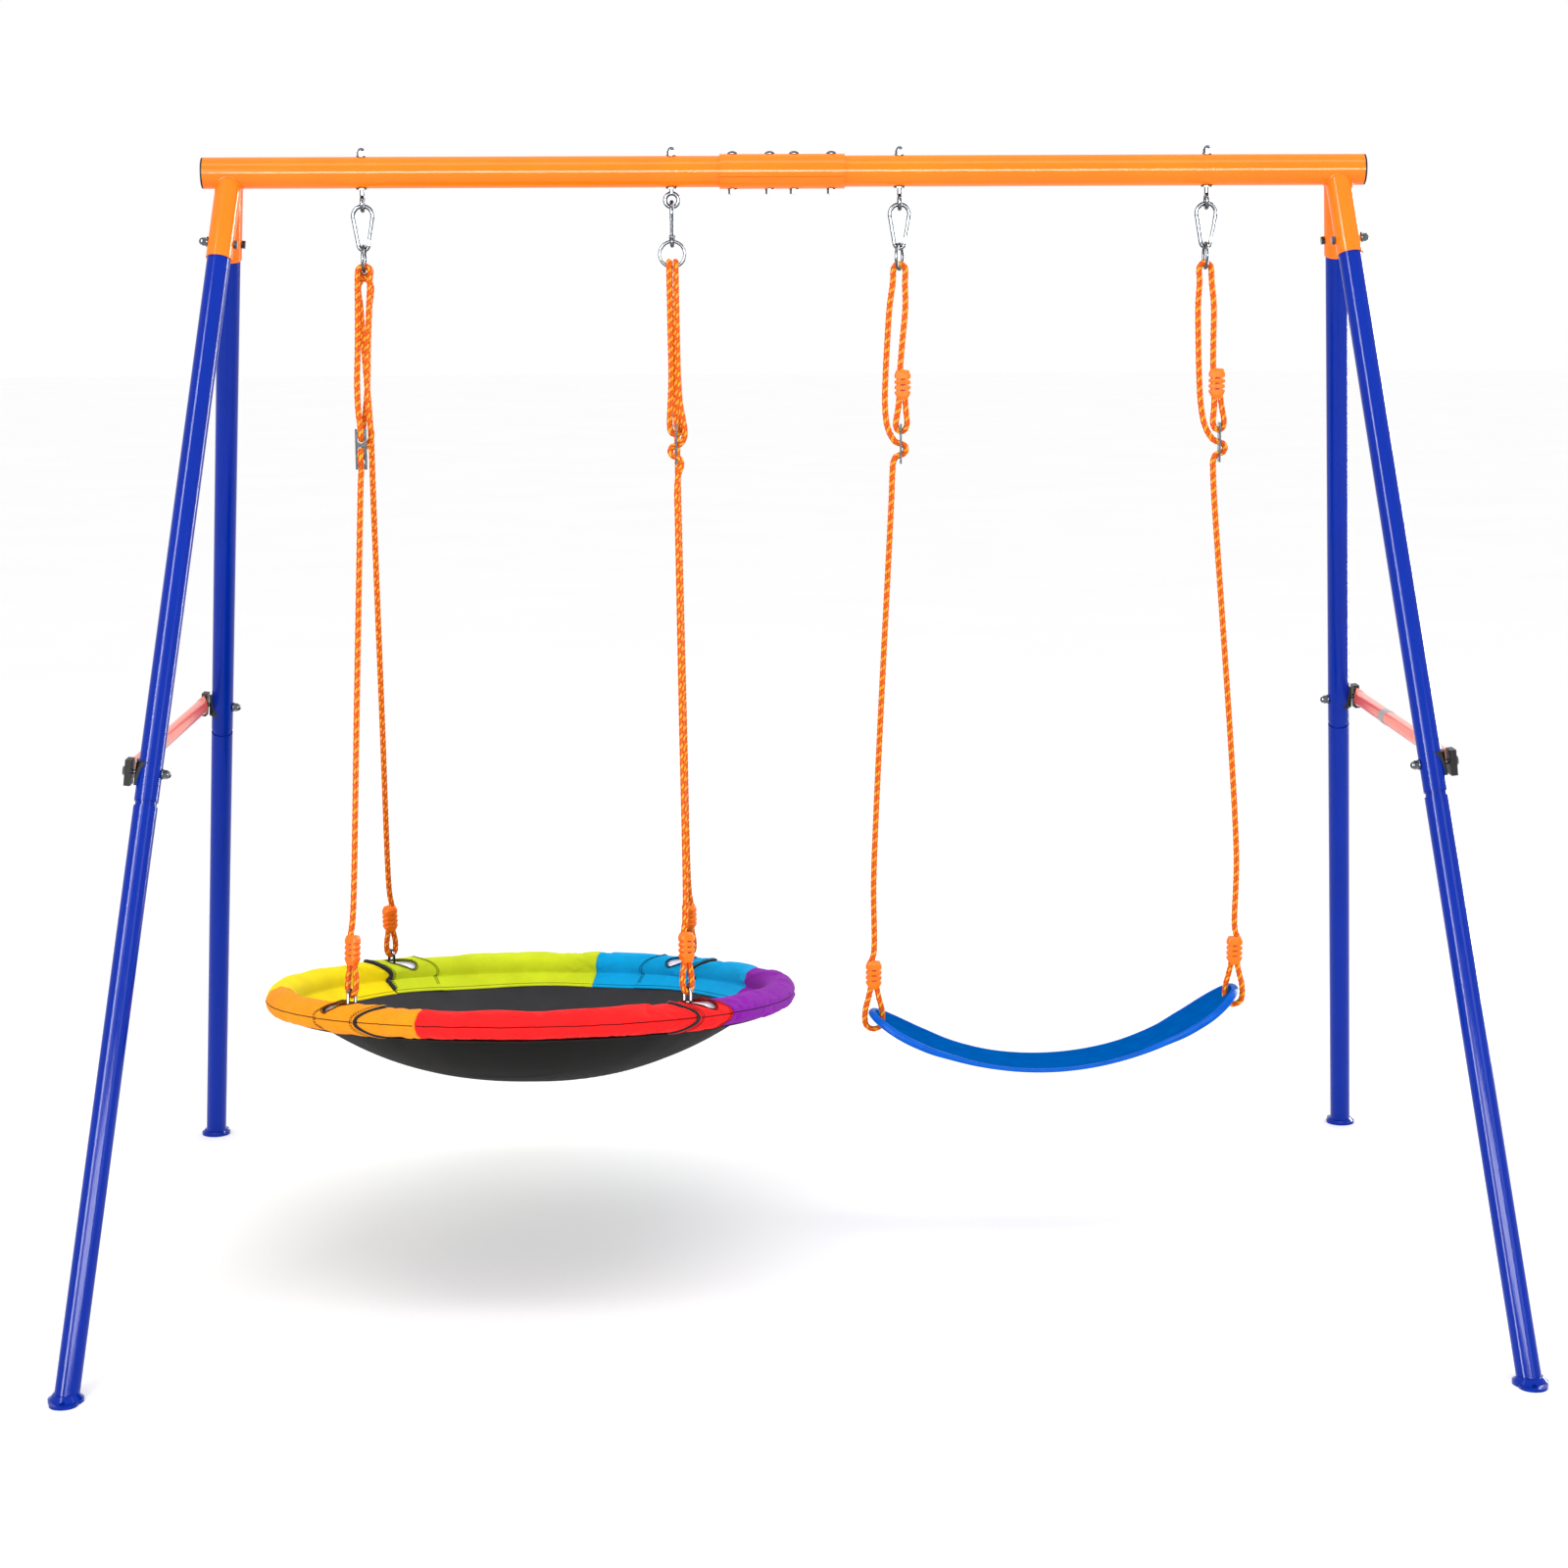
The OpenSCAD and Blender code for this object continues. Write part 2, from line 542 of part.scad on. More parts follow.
function saucer_route(i, front, back, weave, return, down, across, near, far) = concat(
    rim_eye(i, front),
    [for (p = weave) on_line(i, rim_pt(hang_a[front]), p)],
    over_ring(i, across, near[0], near[1]),
    [for (p = return) on_line(i, rim_pt(hang_a[front]), p)],
    over_ring(i, across * (i == 0 ? -1 : 1), far[0], far[1]),
    [for (p = down) on_line(i, rim_pt(hang_a[back]), p)],
    reversed(rim_eye(i, back)));

left_saucer_route = saucer_route(0, 0, 2, left_weave, left_return, left_back,
    [-1, 0, 0], [0, -5.3], [0, 5.3]);
right_saucer_route = saucer_route(1, 1, 3, right_weave, right_return, right_back,
    [0, 1, 0], [5.3, 0], [-5.3, 0]);

module saucer_left_rope() color("orange") rope(left_saucer_route);
module saucer_right_rope() color("orange") rope(right_saucer_route);

// The middle of a belt rope's lower eye, where its straight line ends
function belt_seat_pt(side) = belt_pt(side * (belt_hole + belt_loop), -belt_hole_drop);

function belt_low_eye(side) =
    let (c = belt_seat_pt(side))
    [for (p = [[0, 250], [0, 118], [-strand, 100], [-strand, 60], [-9, 40], [-14, 20], [-belt_loop, 2],
               [-13, -7], [-7.5, -12.5], [0, -14.5], [7.5, -12.5], [13, -7], [belt_loop, 2], [14, 20],
               [9, 40], [strand, 60], [strand, 80], [strand, 98]])
        c + [side * -p[0], 0, p[1]]];

function belt_route(i, side) =
    let (c = belt_seat_pt(side))
    concat(
        [for (p = belt_eye) on_line(i, c, p)],
        over_ring(i, [-1, 0, 0], 0, 0),
        [for (p = belt_weave) on_line(i, c, p)],
        belt_low_eye(side));

module belt_left_rope() color("orange") rope(belt_route(2, -1));
module belt_right_rope() color("orange") rope(belt_route(3, 1));

// Plate with three holes; children are drawn with -Y running down it and Z through the holes
module adjuster(holes) color("silver") difference() {
    translate([-plate_w / 2, -plate_top - plate_len, -plate_t / 2]) cube([plate_w, plate_len, plate_t]);
    for (s = holes) translate([0, -s, -5]) cylinder(d = 11.6, h = 10);
}

module saucer_rope_adjusters() for (i = [0, 1]) {
    p = on_line(i, rim_pt(hang_a[i]), [0, 0, 288]);
    translate(p) rotate([90, 0, i == 0 ? 0 : 90]) translate([0, 288, 0]) adjuster(saucer_holes);
}

module belt_rope_adjusters() for (i = [2, 3]) {
    p = on_line(i, belt_seat_pt(i == 2 ? -1 : 1), [belt_plate_x, 0, 286]);
    translate(p) rotate([90, 0, 90]) translate([0, 286, 0]) adjuster(belt_holes);
}

// Plastic rope clamp centred at the origin: X across the two strands, Z along them
module clamp() color("darkorange") difference() {
    union() {
        for (x = [-1, 1]) translate([x * 5, 0, -clamp_len / 2]) cylinder(r = 8.5, h = clamp_len);
        translate([-5, -8.5, -clamp_len / 2]) cube([10, 17, clamp_len]);
    }
    for (x = [-1, 1]) translate([x * strand, 0, -clamp_len]) cylinder(r = 5.1, h = 2 * clamp_len);
    translate([-strand, -3, -clamp_len]) cube([2 * strand, 6, 2 * clamp_len]);
    for (z = [-9, 0, 9], x = [-1, 1]) translate([x * 13.5 - 2, -10, z - 1.5]) cube([4, 20, 3]);
}

// Children are drawn with Z from p along d and X along side
module in_axes(p, d, side) {
    y = cross(d, side);
    multmatrix([[side[0], y[0], d[0], p[0]], [side[1], y[1], d[1], p[1]], [side[2], y[2], d[2], p[2]]])
        children();
}

module at_corner(corner, h) {
    i = corner % 2;
    seat = rim_pt(hang_a[corner]);
    d = unit([eye_xs[i], 0, ring_low(i)] - seat);
    in_axes(seat + h * d, d, link_side(i, corner)) children();
}

module saucer_rope_clamps() for (corner = [0 : 3]) at_corner(corner, clamp_h) clamp();

module belt_rope_clamps() for (i = [2, 3]) {
    c = belt_seat_pt(i == 2 ? -1 : 1);
    translate(on_line(i, c, [12, 0, 189])) clamp();
    translate(c + [0, 0, 80]) clamp();
}

// ---- saucer ----

module saucer_frame() translate([saucer_x, 0, rim_z]) rotate([-rim_tilt, 0, 0]) children();

module rim_sector(d, from, to) rotate([0, 0, from]) rotate_extrude(angle = to - from, $fn = 96)
    translate([rim_r, 0]) circle(d = d);

module saucer_rim_tube() color("lightgray") {
    saucer_frame() difference() {
        torus(rim_r, rim_tube_d);
        torus(rim_r, rim_tube_d - 3);
    }
    for (corner = [0 : 3]) at_corner(corner, rim_tube_d / 2 - 0.5) rotate([90, 0, 0])
        arc_wire(staple_r, staple_wire, 0, 180);
}

module saucer_links() color("silver") for (corner = [0 : 3]) at_corner(corner, 0)
    rotate([0, 0, 90]) rotate([90, 0, 0]) {
        translate([0, link_low, 0]) arc_wire(link_half, 5, 180, 180);
        translate([0, link_high, 0]) arc_wire(link_half, 5, 0, 180);
        for (x = [-1, 1]) translate([x * link_half, link_low - eps, 0]) rotate([-90, 0, 0])
            cylinder(d = 5, h = link_high - link_low + 2 * eps);
    }

// Openings for the links, as wide as given across the rim and as long along it, from a floor upwards
module windows(wide, long, floor_z) for (a = window_a) rotate([0, 0, a])
    translate([rim_r - wide / 2, -long / 2, floor_z]) cube([wide, long, 2 * pad_d]);

module saucer_rim_foam() color("dimgray") saucer_frame() difference() {
    torus(rim_r, foam_d);
    torus(rim_r, rim_tube_d + 0.4);
    windows(2 * pad_d, foam_gap_long, -pad_d);
}

module cover(k, colour) color(colour) saucer_frame() difference() {
    rim_sector(pad_d, cover_a[k] + 0.1, cover_a[k + 1] - 0.1);
    torus(rim_r, foam_d + 0.4);
    windows(window_wide, window_long, 0);
}

bowl_steps = 12;
function bowl_z(r) = -bowl_depth + (bowl_depth + bowl_rim_z) * pow(r / bowl_rim_r, 2.4);

module saucer_seat_fabric() color([0.2, 0.2, 0.22]) saucer_frame() rotate_extrude($fn = 96) polygon(concat(
    [for (k = [0 : bowl_steps]) let (r = bowl_rim_r * k / bowl_steps) [r, bowl_z(r)]],
    [for (k = [bowl_steps : -1 : 0]) let (r = bowl_rim_r * k / bowl_steps) [r, bowl_z(r) - fabric_t]]));

// ---- belt seat ----

module belt_frame() translate([belt_x, 0, belt_tip_z]) rotate([0, -belt_tilt, 0]) children();

module belt_seat() {
    below = -belt_sag - 2 * belt_t;
    tall = belt_sag + 6 * belt_t;
    color("dodgerblue") belt_frame() difference() {
        intersection() {
            translate([0, 0, belt_r - belt_sag]) rotate([90, 0, 0]) translate([0, 0, -belt_lobe])
                pipe(2 * belt_r + belt_t, 2 * belt_r - belt_t, 2 * belt_lobe, $fn = 128);
            translate([0, 0, below]) union() {
                translate([-belt_span / 2 + belt_lobe / 2, -belt_w / 2, 0])
                    cube([belt_span - belt_lobe, belt_w, tall]);
                for (x = [-1, 1]) translate([x * (belt_span - belt_lobe) / 2, 0, 0])
                    cylinder(d = belt_lobe, h = tall);
            }
        }
        for (x = [-1, 1]) translate([x * belt_hole, 0, below]) cylinder(d = belt_hole_d, h = tall);
    }
}

top_tube(-1);  // left_top_tube
top_tube(1);  // right_top_tube
sleeve_half(true);  // sleeve_upper_half
sleeve_half(false);  // sleeve_lower_half
sleeve_bolts();
sleeve_nuts();
beam_end_caps();
upper_leg(-1, -1);  // left_front_upper_leg
lower_leg(-1, -1);  // left_front_lower_leg
upper_leg(-1, 1);  // left_back_upper_leg
lower_leg(-1, 1);  // left_back_lower_leg
upper_leg(1, -1);  // right_front_upper_leg
lower_leg(1, -1);  // right_front_lower_leg
upper_leg(1, 1);  // right_back_upper_leg
lower_leg(1, 1);  // right_back_lower_leg
socket_bolts();
socket_nuts();
brace(-1);  // left_brace
brace(1);  // right_brace
brace_band();
brace_saddles();
brace_end_caps();
brace_bolts();
brace_nuts();
eye_bolts();
eye_bolt_nuts();
snap_hooks(0);  // saucer_hooks
rings(0);  // saucer_rings
saucer_left_rope();
saucer_right_rope();
saucer_rope_adjusters();
saucer_rope_clamps();
saucer_links();
saucer_rim_tube();
saucer_rim_foam();
cover(0, "mediumorchid");  // saucer_cover_purple
cover(1, "deepskyblue");  // saucer_cover_blue
cover(2, "yellowgreen");  // saucer_cover_lime
cover(3, "gold");  // saucer_cover_yellow
cover(4, "orange");  // saucer_cover_orange
cover(5, "red");  // saucer_cover_red
saucer_seat_fabric();
snap_hooks(2);  // belt_hooks
rings(2);  // belt_rings
belt_left_rope();
belt_right_rope();
belt_rope_adjusters();
belt_rope_clamps();
belt_seat();
hook_gate(0);  // gate_1
hook_gate(1);  // gate_2
hook_gate(2);  // gate_3
hook_gate(3);  // gate_4
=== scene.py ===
"""Garden swing set: the looks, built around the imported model. Metres, +X along the top tube, +Z up."""

from math import atan, cos, hypot, pi, radians, sin, sqrt

import bmesh
import bpy
import numpy as np
from mathutils import Matrix, Vector
from numpy.linalg import norm


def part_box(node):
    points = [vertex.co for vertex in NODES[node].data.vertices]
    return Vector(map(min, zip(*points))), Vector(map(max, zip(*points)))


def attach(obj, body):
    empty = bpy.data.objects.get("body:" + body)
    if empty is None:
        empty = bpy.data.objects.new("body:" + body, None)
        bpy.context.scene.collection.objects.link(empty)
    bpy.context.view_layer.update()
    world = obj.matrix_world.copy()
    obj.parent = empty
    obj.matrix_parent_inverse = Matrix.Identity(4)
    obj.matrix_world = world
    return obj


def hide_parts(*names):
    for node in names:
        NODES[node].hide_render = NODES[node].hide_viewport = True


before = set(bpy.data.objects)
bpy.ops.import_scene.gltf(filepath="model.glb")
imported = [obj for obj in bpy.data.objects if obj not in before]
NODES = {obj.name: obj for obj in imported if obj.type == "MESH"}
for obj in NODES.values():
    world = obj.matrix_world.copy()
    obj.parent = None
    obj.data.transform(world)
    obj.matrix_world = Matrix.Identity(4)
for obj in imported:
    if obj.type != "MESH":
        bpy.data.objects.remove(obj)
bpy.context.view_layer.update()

# ---- small helpers ----

def arr(v):
    return np.array(v, float)


def unit(v):
    """One direction, or a whole grid of them, at length 1."""
    return v / norm(v, axis=-1, keepdims=True)


def run_length(points):
    """The way along a line from its start to each of its points."""
    return np.append(0, np.cumsum(norm(np.diff(points, axis=0), axis=1)))


def smooth(t):
    """A soft step from 0 to 1."""
    t = np.clip(t, 0, 1)
    return t * t * (3 - 2 * t)


def bell(distance, width, power=2):
    """A soft hump, 1 at no distance; a higher power gives it a flatter top."""
    return np.exp(-(distance / width) ** power)


def turned(degrees):
    """An angle brought between -180 and 180."""
    return (degrees + 180) % 360 - 180


def added(name, data):
    """A new object in the scene."""
    thing = bpy.data.objects.new(name, data)
    bpy.context.scene.collection.objects.link(thing)
    return thing


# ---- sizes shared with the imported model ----

EYE_X = (-.693, -.187, .187, .693)  # the four hanging points along the top tube
RING_WIRE, RING_D = .0028, .047  # radius of the rings' wire, their outer diameter
LOOP_R = .010  # turn of a rope over its ring
STRAND = .0051  # half the distance between two strands in a clamp
RIM_CENTRE = Vector((-.440, 0, .448))
RIM_R = .420
RIM_TILT = radians(6.5)
DEGREE = radians(1) * RIM_R  # length of one degree round the rim
CORNERS = (230, 310, 130, 50)  # rim angles of the ropes: front left, front right, back left, back right
CLAMP_H = .110  # clamp's middle above the rim, along the rope
BELT_X, BELT_TIP_Z = .454, .430
BELT_SPAN, BELT_SAG = .634, .112
BELT_TILT = radians(3.5)
BELT_HOLE = .295
BELT_LOOP = .015  # half-width of the rope's loop round the belt's end
BELT_R = ((BELT_SPAN / 2) ** 2 + BELT_SAG ** 2) / (2 * BELT_SAG)

saucer_rings, belt_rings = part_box("saucer_rings"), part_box("belt_rings")
RING_LOW = (saucer_rings[0].z + RING_WIRE, saucer_rings[1].z - RING_D + RING_WIRE,
            belt_rings[0].z + RING_WIRE, belt_rings[0].z + RING_WIRE)


# ---- camera ----

def make_camera():
    data = bpy.data.cameras.new("camera")
    data.lens, data.sensor_width = 72, 36
    camera = added("camera", data)
    yaw, pitch, roll = radians(-1.3), radians(-9.59), radians(-.23)
    camera.matrix_world = (Matrix.Translation((-.1255, -5.2346, 1.692)) @ Matrix.Rotation(yaw, 4, "Z")
                           @ Matrix.Rotation(pi / 2 + pitch, 4, "X") @ Matrix.Rotation(roll, 4, "Z"))
    bpy.context.scene.camera = camera


# ---- node-tree helpers ----

class Paint:
    """A material with one Principled shader, and short calls that add nodes to it."""

    def __init__(self, name, roughness, metallic=0., **sockets):
        self.material = bpy.data.materials.new(name)
        self.material.use_nodes = True
        self.tree = self.material.node_tree
        self.shader = self.tree.nodes["Principled BSDF"]
        self.shader.inputs["Roughness"].default_value = roughness
        self.shader.inputs["Metallic"].default_value = metallic
        for socket, value in sockets.items():
            self.shader.inputs[socket.replace("_", " ")].default_value = value

    def add(self, kind, inputs=(), **settings):
        node = self.tree.nodes.new(kind)
        for key, value in settings.items():
            setattr(node, key, value)
        for key, value in dict(inputs).items():
            if isinstance(value, bpy.types.NodeSocket):
                self.tree.links.new(value, node.inputs[key])
            else:
                node.inputs[key].default_value = value
        return node

    def math(self, operation, *values):
        return self.add("ShaderNodeMath", enumerate(values), operation=operation).outputs[0]

    def position(self):
        return self.add("ShaderNodeTexCoord").outputs["Object"]

    def uv(self):
        return self.add("ShaderNodeSeparateXYZ", {0: self.add("ShaderNodeTexCoord").outputs["UV"]}).outputs

    def scaled(self, vector, scale):
        return self.add("ShaderNodeVectorMath", {0: vector, 1: scale}, operation="MULTIPLY").outputs[0]

    def noise(self, vector, scale, detail, rough=.5):
        inputs = {"Vector": vector, "Scale": scale, "Detail": detail, "Roughness": rough}
        return self.add("ShaderNodeTexNoise", inputs).outputs["Fac"]

    def ramp(self, value, low, high, to_low=0., to_high=1.):
        inputs = {"Value": value, "From Min": low, "From Max": high, "To Min": to_low, "To Max": to_high}
        return self.add("ShaderNodeMapRange", inputs).outputs[0]

    def clouds(self, scale, detail, low, high, to_low=0., to_high=1.):
        """Noise over the object, from below low to above high."""
        return self.ramp(self.noise(self.position(), scale, detail), low, high, to_low, to_high)

    def mix(self, factor, first, second):
        return self.add("ShaderNodeMix", {0: factor, 6: first, 7: second}, data_type="RGBA").outputs[2]

    def set(self, socket, value):
        self.tree.links.new(value, self.shader.inputs[socket])

    def bump(self, height, depth, strength, under=None):
        inputs = {"Height": height, "Distance": depth, "Strength": strength}
        if under is not None:
            inputs["Normal"] = under
        return self.add("ShaderNodeBump", inputs).outputs[0]


def srgb(red, green, blue):
    """A colour given as the eye sees it, 0 to 255, in the renderer's linear units."""
    def linear(c):
        c /= 255
        return c / 12.92 if c <= .04045 else ((c + .055) / 1.055) ** 2.4
    return (linear(red), linear(green), linear(blue), 1.)


def shade(colour, factor):
    """The colour made lighter or darker."""
    return tuple(min(1., c * factor) for c in colour[:3]) + (1.,)


# ---- materials ----

def powder_coat(name, colour, roughness, coat=.35, gloss=.5):
    """Glossy powder coat: fine orange peel, slight clouding and faint dust."""
    p = Paint(name, roughness, Coat_Weight=coat, Coat_Roughness=.1, Specular_IOR_Level=gloss)
    base = p.mix(p.clouds(7., 4., .3, .7), shade(colour, .93), shade(colour, 1.05))
    dust = p.math("MULTIPLY", p.clouds(260., 2., .62, .8), .10)
    p.set("Base Color", p.mix(dust, base, shade(colour, 1.5)))
    p.set("Roughness", p.clouds(30., 5., .3, .7, roughness - .02, roughness + .03))
    p.set("Normal", p.bump(p.noise(p.position(), 420., 2.), .00006, .4))
    return p.material


def zinc(name, colour=(.12, .13, .145, 1.), roughness=.10, metal=1.):
    """Bright zinc plate: cloudy passivation, fine scratches and small dull spots. The default colour is far darker
    than zinc, a painted reflection of dark surroundings.
    """
    p = Paint(name, roughness, metal)
    red, green, blue = colour[:3]
    warm = p.mix(p.clouds(90., 4., .35, .65), colour, (red * .95, green * .93, blue * .88, 1.))
    p.set("Base Color", p.mix(p.clouds(600., 2., .58, .72), warm, shade(colour, .55)))
    scratch = p.noise(p.scaled(p.position(), (1., 1., .05)), 2600., 3.)
    p.set("Roughness", p.ramp(scratch, .3, .75, roughness - .04, roughness + .14))
    p.set("Normal", p.bump(scratch, .00008, .4))
    return p.material


def plastic(name, colour, roughness, grain=900., depth=.00012, gloss=.5):
    """Moulded plastic: fine spark-erosion grain and slight colour drift."""
    p = Paint(name, roughness, Specular_IOR_Level=gloss)
    p.set("Base Color", p.mix(p.clouds(45., 3., .3, .7), shade(colour, .9), shade(colour, 1.08)))
    p.set("Roughness", p.clouds(200., 3., .3, .7, roughness - .06, roughness + .1))
    p.set("Normal", p.bump(p.noise(p.position(), grain, 2.), depth, .6))
    return p.material


COLUMNS, STITCH, SLANT = 6, .0082, -.6  # columns of stitches round the rope, a stitch's length, its lean


def rope_material():
    """Solid-braid rope: slanted stitches in staggered columns, some of them yellow, fibres along each; the colour
    darkens from each stitch's crown into the dips between stitches, a painted shade.
    """
    p = Paint("orange_rope", .7, Sheen_Weight=.02, Sheen_Roughness=.4, Specular_IOR_Level=.12)
    u, v = p.uv()[0:2]
    turn = p.math("MULTIPLY", u, float(COLUMNS))
    column = p.math("FLOOR", turn)
    x = p.math("SUBTRACT", p.math("FRACT", turn), .5)
    stagger = p.math("MULTIPLY", p.math("FLOORED_MODULO", column, 2.), .5)
    row = p.math("ADD", p.math("ADD", p.math("DIVIDE", v, STITCH), stagger), p.math("MULTIPLY", x, SLANT))
    y = p.math("SUBTRACT", p.math("FRACT", row), .5)
    side = p.math("SUBTRACT", 1., p.math("MULTIPLY", p.math("MULTIPLY", x, x), 4.))
    end = p.math("SUBTRACT", 1., p.math("MULTIPLY", p.math("MULTIPLY", y, y), 4.))
    crown = p.math("MULTIPLY", side, end)
    which = p.math("ADD", column, p.math("FLOOR", row))
    yellow = p.math("LESS_THAN", p.math("FLOORED_MODULO", which, 2.), .5)
    fleck = p.math("MULTIPLY", yellow, p.ramp(crown, .15, .5))
    fibre = p.noise(p.scaled(p.add("ShaderNodeTexCoord").outputs["UV"], (40., 260., 1.)), 9., 3.)
    # painted shade: the orange darkens to red-orange away from each stitch's crown, in the dips between stitches
    base = p.mix(p.ramp(crown, .0, .55), srgb(176, 34, 0), srgb(232, 92, 0))
    base = p.mix(fleck, base, srgb(246, 172, 36))
    p.set("Base Color", p.mix(p.ramp(fibre, .35, .65, 0., .2), base, srgb(240, 112, 8)))
    height = p.math("ADD", crown, p.math("MULTIPLY", fibre, .35))
    p.set("Normal", p.bump(height, .0006, .8))
    return p.material


def woven(name, colour, sheen, pitch=.0011, roughness=.82, fade=.12, gloss=.2):
    """Coated woven polyester: plain weave over the piece's metre-sized UVs, soft fading and lint."""
    p = Paint(name, roughness, Sheen_Weight=sheen, Sheen_Roughness=.45, Specular_IOR_Level=gloss)
    place = p.position()
    across, along = (p.math("SINE", p.math("MULTIPLY", way, 2 * pi / pitch)) for way in p.uv()[0:2])
    weave = p.math("MULTIPLY", across, along)
    cloud = p.ramp(p.noise(place, 16., 5., .6), .3, .7)
    slub = p.noise(p.scaled(place, (1., 1., 3.)), 420., 3.)
    base = p.mix(cloud, shade(colour, 1 - fade), shade(colour, 1 + fade * .6))
    base = p.mix(p.ramp(weave, -1., 1., 0., .22), base, shade(colour, .62))
    p.set("Base Color", p.mix(p.ramp(slub, .55, .8, 0., .22), base, shade(colour, 1.35)))
    p.set("Roughness", p.ramp(slub, .3, .7, roughness - .08, roughness + .08))
    p.set("Normal", p.bump(weave, .0002, .45, p.bump(p.noise(place, 55., 4.), .0012, .35)))
    return p.material


def foam_material():
    """Dark foam with fine open cells, darker down in each cell's hollow: painted shade."""
    p = Paint("rim_foam", .95)
    cells = p.add("ShaderNodeTexVoronoi", {"Vector": p.position(), "Scale": 700.}).outputs["Distance"]
    # painted shade: the colour darkens where the bump sinks into each cell
    p.set("Base Color", p.mix(p.ramp(cells, 0., .6), srgb(30, 30, 32), srgb(70, 70, 74)))
    p.set("Normal", p.bump(cells, .0004, .8))
    return p.material


def floor_material():
    """Pale matt floor with a hardly visible cloudiness."""
    p = Paint("floor", .9, Specular_IOR_Level=.1)
    p.set("Base Color", p.mix(p.clouds(1.2, 3., .3, .7), (.975, .975, .975, 1.), (.99, .99, .99, 1.)))
    return p.material


COVER_COLOURS = {"purple": srgb(138, 26, 166), "blue": srgb(0, 164, 226), "lime": srgb(206, 222, 34),
                 "yellow": srgb(255, 226, 0), "orange": srgb(255, 156, 26), "red": srgb(244, 32, 34)}

MATERIALS = {
    "orange": powder_coat("orange_powder_coat", srgb(255, 122, 14), .13, 0., .25),
    "leg_blue": powder_coat("blue_powder_coat", srgb(0, 40, 150), .12, 0., .14),
    "coral": powder_coat("brace_powder_coat", srgb(236, 92, 52), .3),
    # the hardware takes zinc's darkened default colour, a painted reflection of dark surroundings
    "zinc": zinc("zinc_hardware"),
    "tube": zinc("rim_tube_steel", (.74, .74, .86, 1.), .5, .3),
    "black": plastic("black_plastic", srgb(20, 19, 20), .45, gloss=.2),
    "clamp": plastic("orange_plastic", srgb(250, 116, 14), .38, 500., gloss=.16),
    # painted shade: a darker red for the faces inside the clamps' slots, where shade falls
    "clamp_slot_painted_shade": plastic("clamp_slot_painted_shade", srgb(176, 36, 4), .5, 500.),
    "belt": plastic("belt_plastic", srgb(0, 84, 163), .5, 260., .0003, .0),
    # the belt's outer edge: a shinier finish, and a lighter blue that paints its highlight
    "belt_edge_painted_highlight": plastic("belt_edge_painted_highlight", srgb(0, 88, 192), .3, 600., .0001, .06),
    "band": plastic("grey_band", srgb(150, 152, 154), .4),
    "rope": rope_material(),
    "foam": foam_material(),
    "seat": woven("seat_fabric", srgb(44, 44, 48), .08, .0013, .75, .2, .1),
    # painted shade: a darker copy of the seat fabric for the sheet's underside
    "seat_under_painted_shade": woven("seat_fabric_painted_shade_under", srgb(18, 17, 16), .0, .0013, .6, .15, .06),
    "piping": woven("black_piping", srgb(20, 20, 22), .3),
}
for cover_name, cover_colour in COVER_COLOURS.items():
    MATERIALS["cover_" + cover_name] = woven("cover_" + cover_name, cover_colour, .04, gloss=.05)
    thread_colour = shade(cover_colour, .10)
    MATERIALS["thread_" + cover_name] = woven("thread_" + cover_name, thread_colour, .02, .0006, gloss=.05)


# ---- mesh helpers ----

def piece(name, vertices, faces, material, body=None, slot=None, uv=None):
    """A smooth mesh object from arrays, riding on a body if it has one. uv has one pair for each face corner."""
    mesh = bpy.data.meshes.new(name)
    mesh.from_pydata([tuple(v) for v in vertices], [], [tuple(f) for f in faces])
    if uv is not None:
        layer = mesh.uv_layers.new(name="cloth")
        layer.data.foreach_set("uv", arr(uv).astype(np.float32).ravel())
    mesh.polygons.foreach_set("use_smooth", [True] * len(mesh.polygons))
    mesh.materials.append(material)
    mesh.update()
    thing = added(name, mesh)
    if body:
        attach(thing, body)
    return thing


def grid_faces(rows, columns, wrap_columns=False, wrap_rows=False, start=0):
    """Quads over a grid of points stored row by row."""
    made = []
    for i in range(rows if wrap_rows else rows - 1):
        for j in range(columns if wrap_columns else columns - 1):
            a, b = i % rows * columns, (i + 1) % rows * columns
            k = (j + 1) % columns
            made.append((start + a + j, start + a + k, start + b + k, start + b + j))
    return made


def spline(points, step):
    """A smooth curve through the points, with its points a step apart: centripetal Catmull-Rom."""
    p = arr(points)
    p = np.vstack([2 * p[0] - p[1], p, 2 * p[-1] - p[-2]])
    dense = []
    for k in range(1, len(p) - 2):
        q = p[k - 1:k + 3]
        t = np.concatenate([[0], np.cumsum(np.sqrt(norm(np.diff(q, axis=0), axis=1)) + 1e-9)])
        s = np.linspace(t[1], t[2], 24, endpoint=False)[:, None]
        a = [((t[i + 1] - s) * q[i] + (s - t[i]) * q[i + 1]) / (t[i + 1] - t[i]) for i in range(3)]
        b = [((t[i + 2] - s) * a[i] + (s - t[i]) * a[i + 1]) / (t[i + 2] - t[i]) for i in range(2)]
        dense.append(((t[2] - s) * b[0] + (s - t[1]) * b[1]) / (t[2] - t[1]))
    return even(np.vstack(dense + [p[-2:-1]]), step)


def closed_line(ring):
    return np.vstack([ring, ring[:1]])


def even(points, step):
    """The same line with its points an even step apart."""
    length = run_length(points)
    at = np.linspace(0, length[-1], max(3, int(length[-1] / step) + 1))
    return np.stack([np.interp(at, length, points[:, k]) for k in range(3)], 1)


def end_caps(rows, sides):
    """The two faces that close a tube of rings."""
    last = (rows - 1) * sides
    return [tuple(range(sides)), tuple(last + k for k in reversed(range(sides)))]


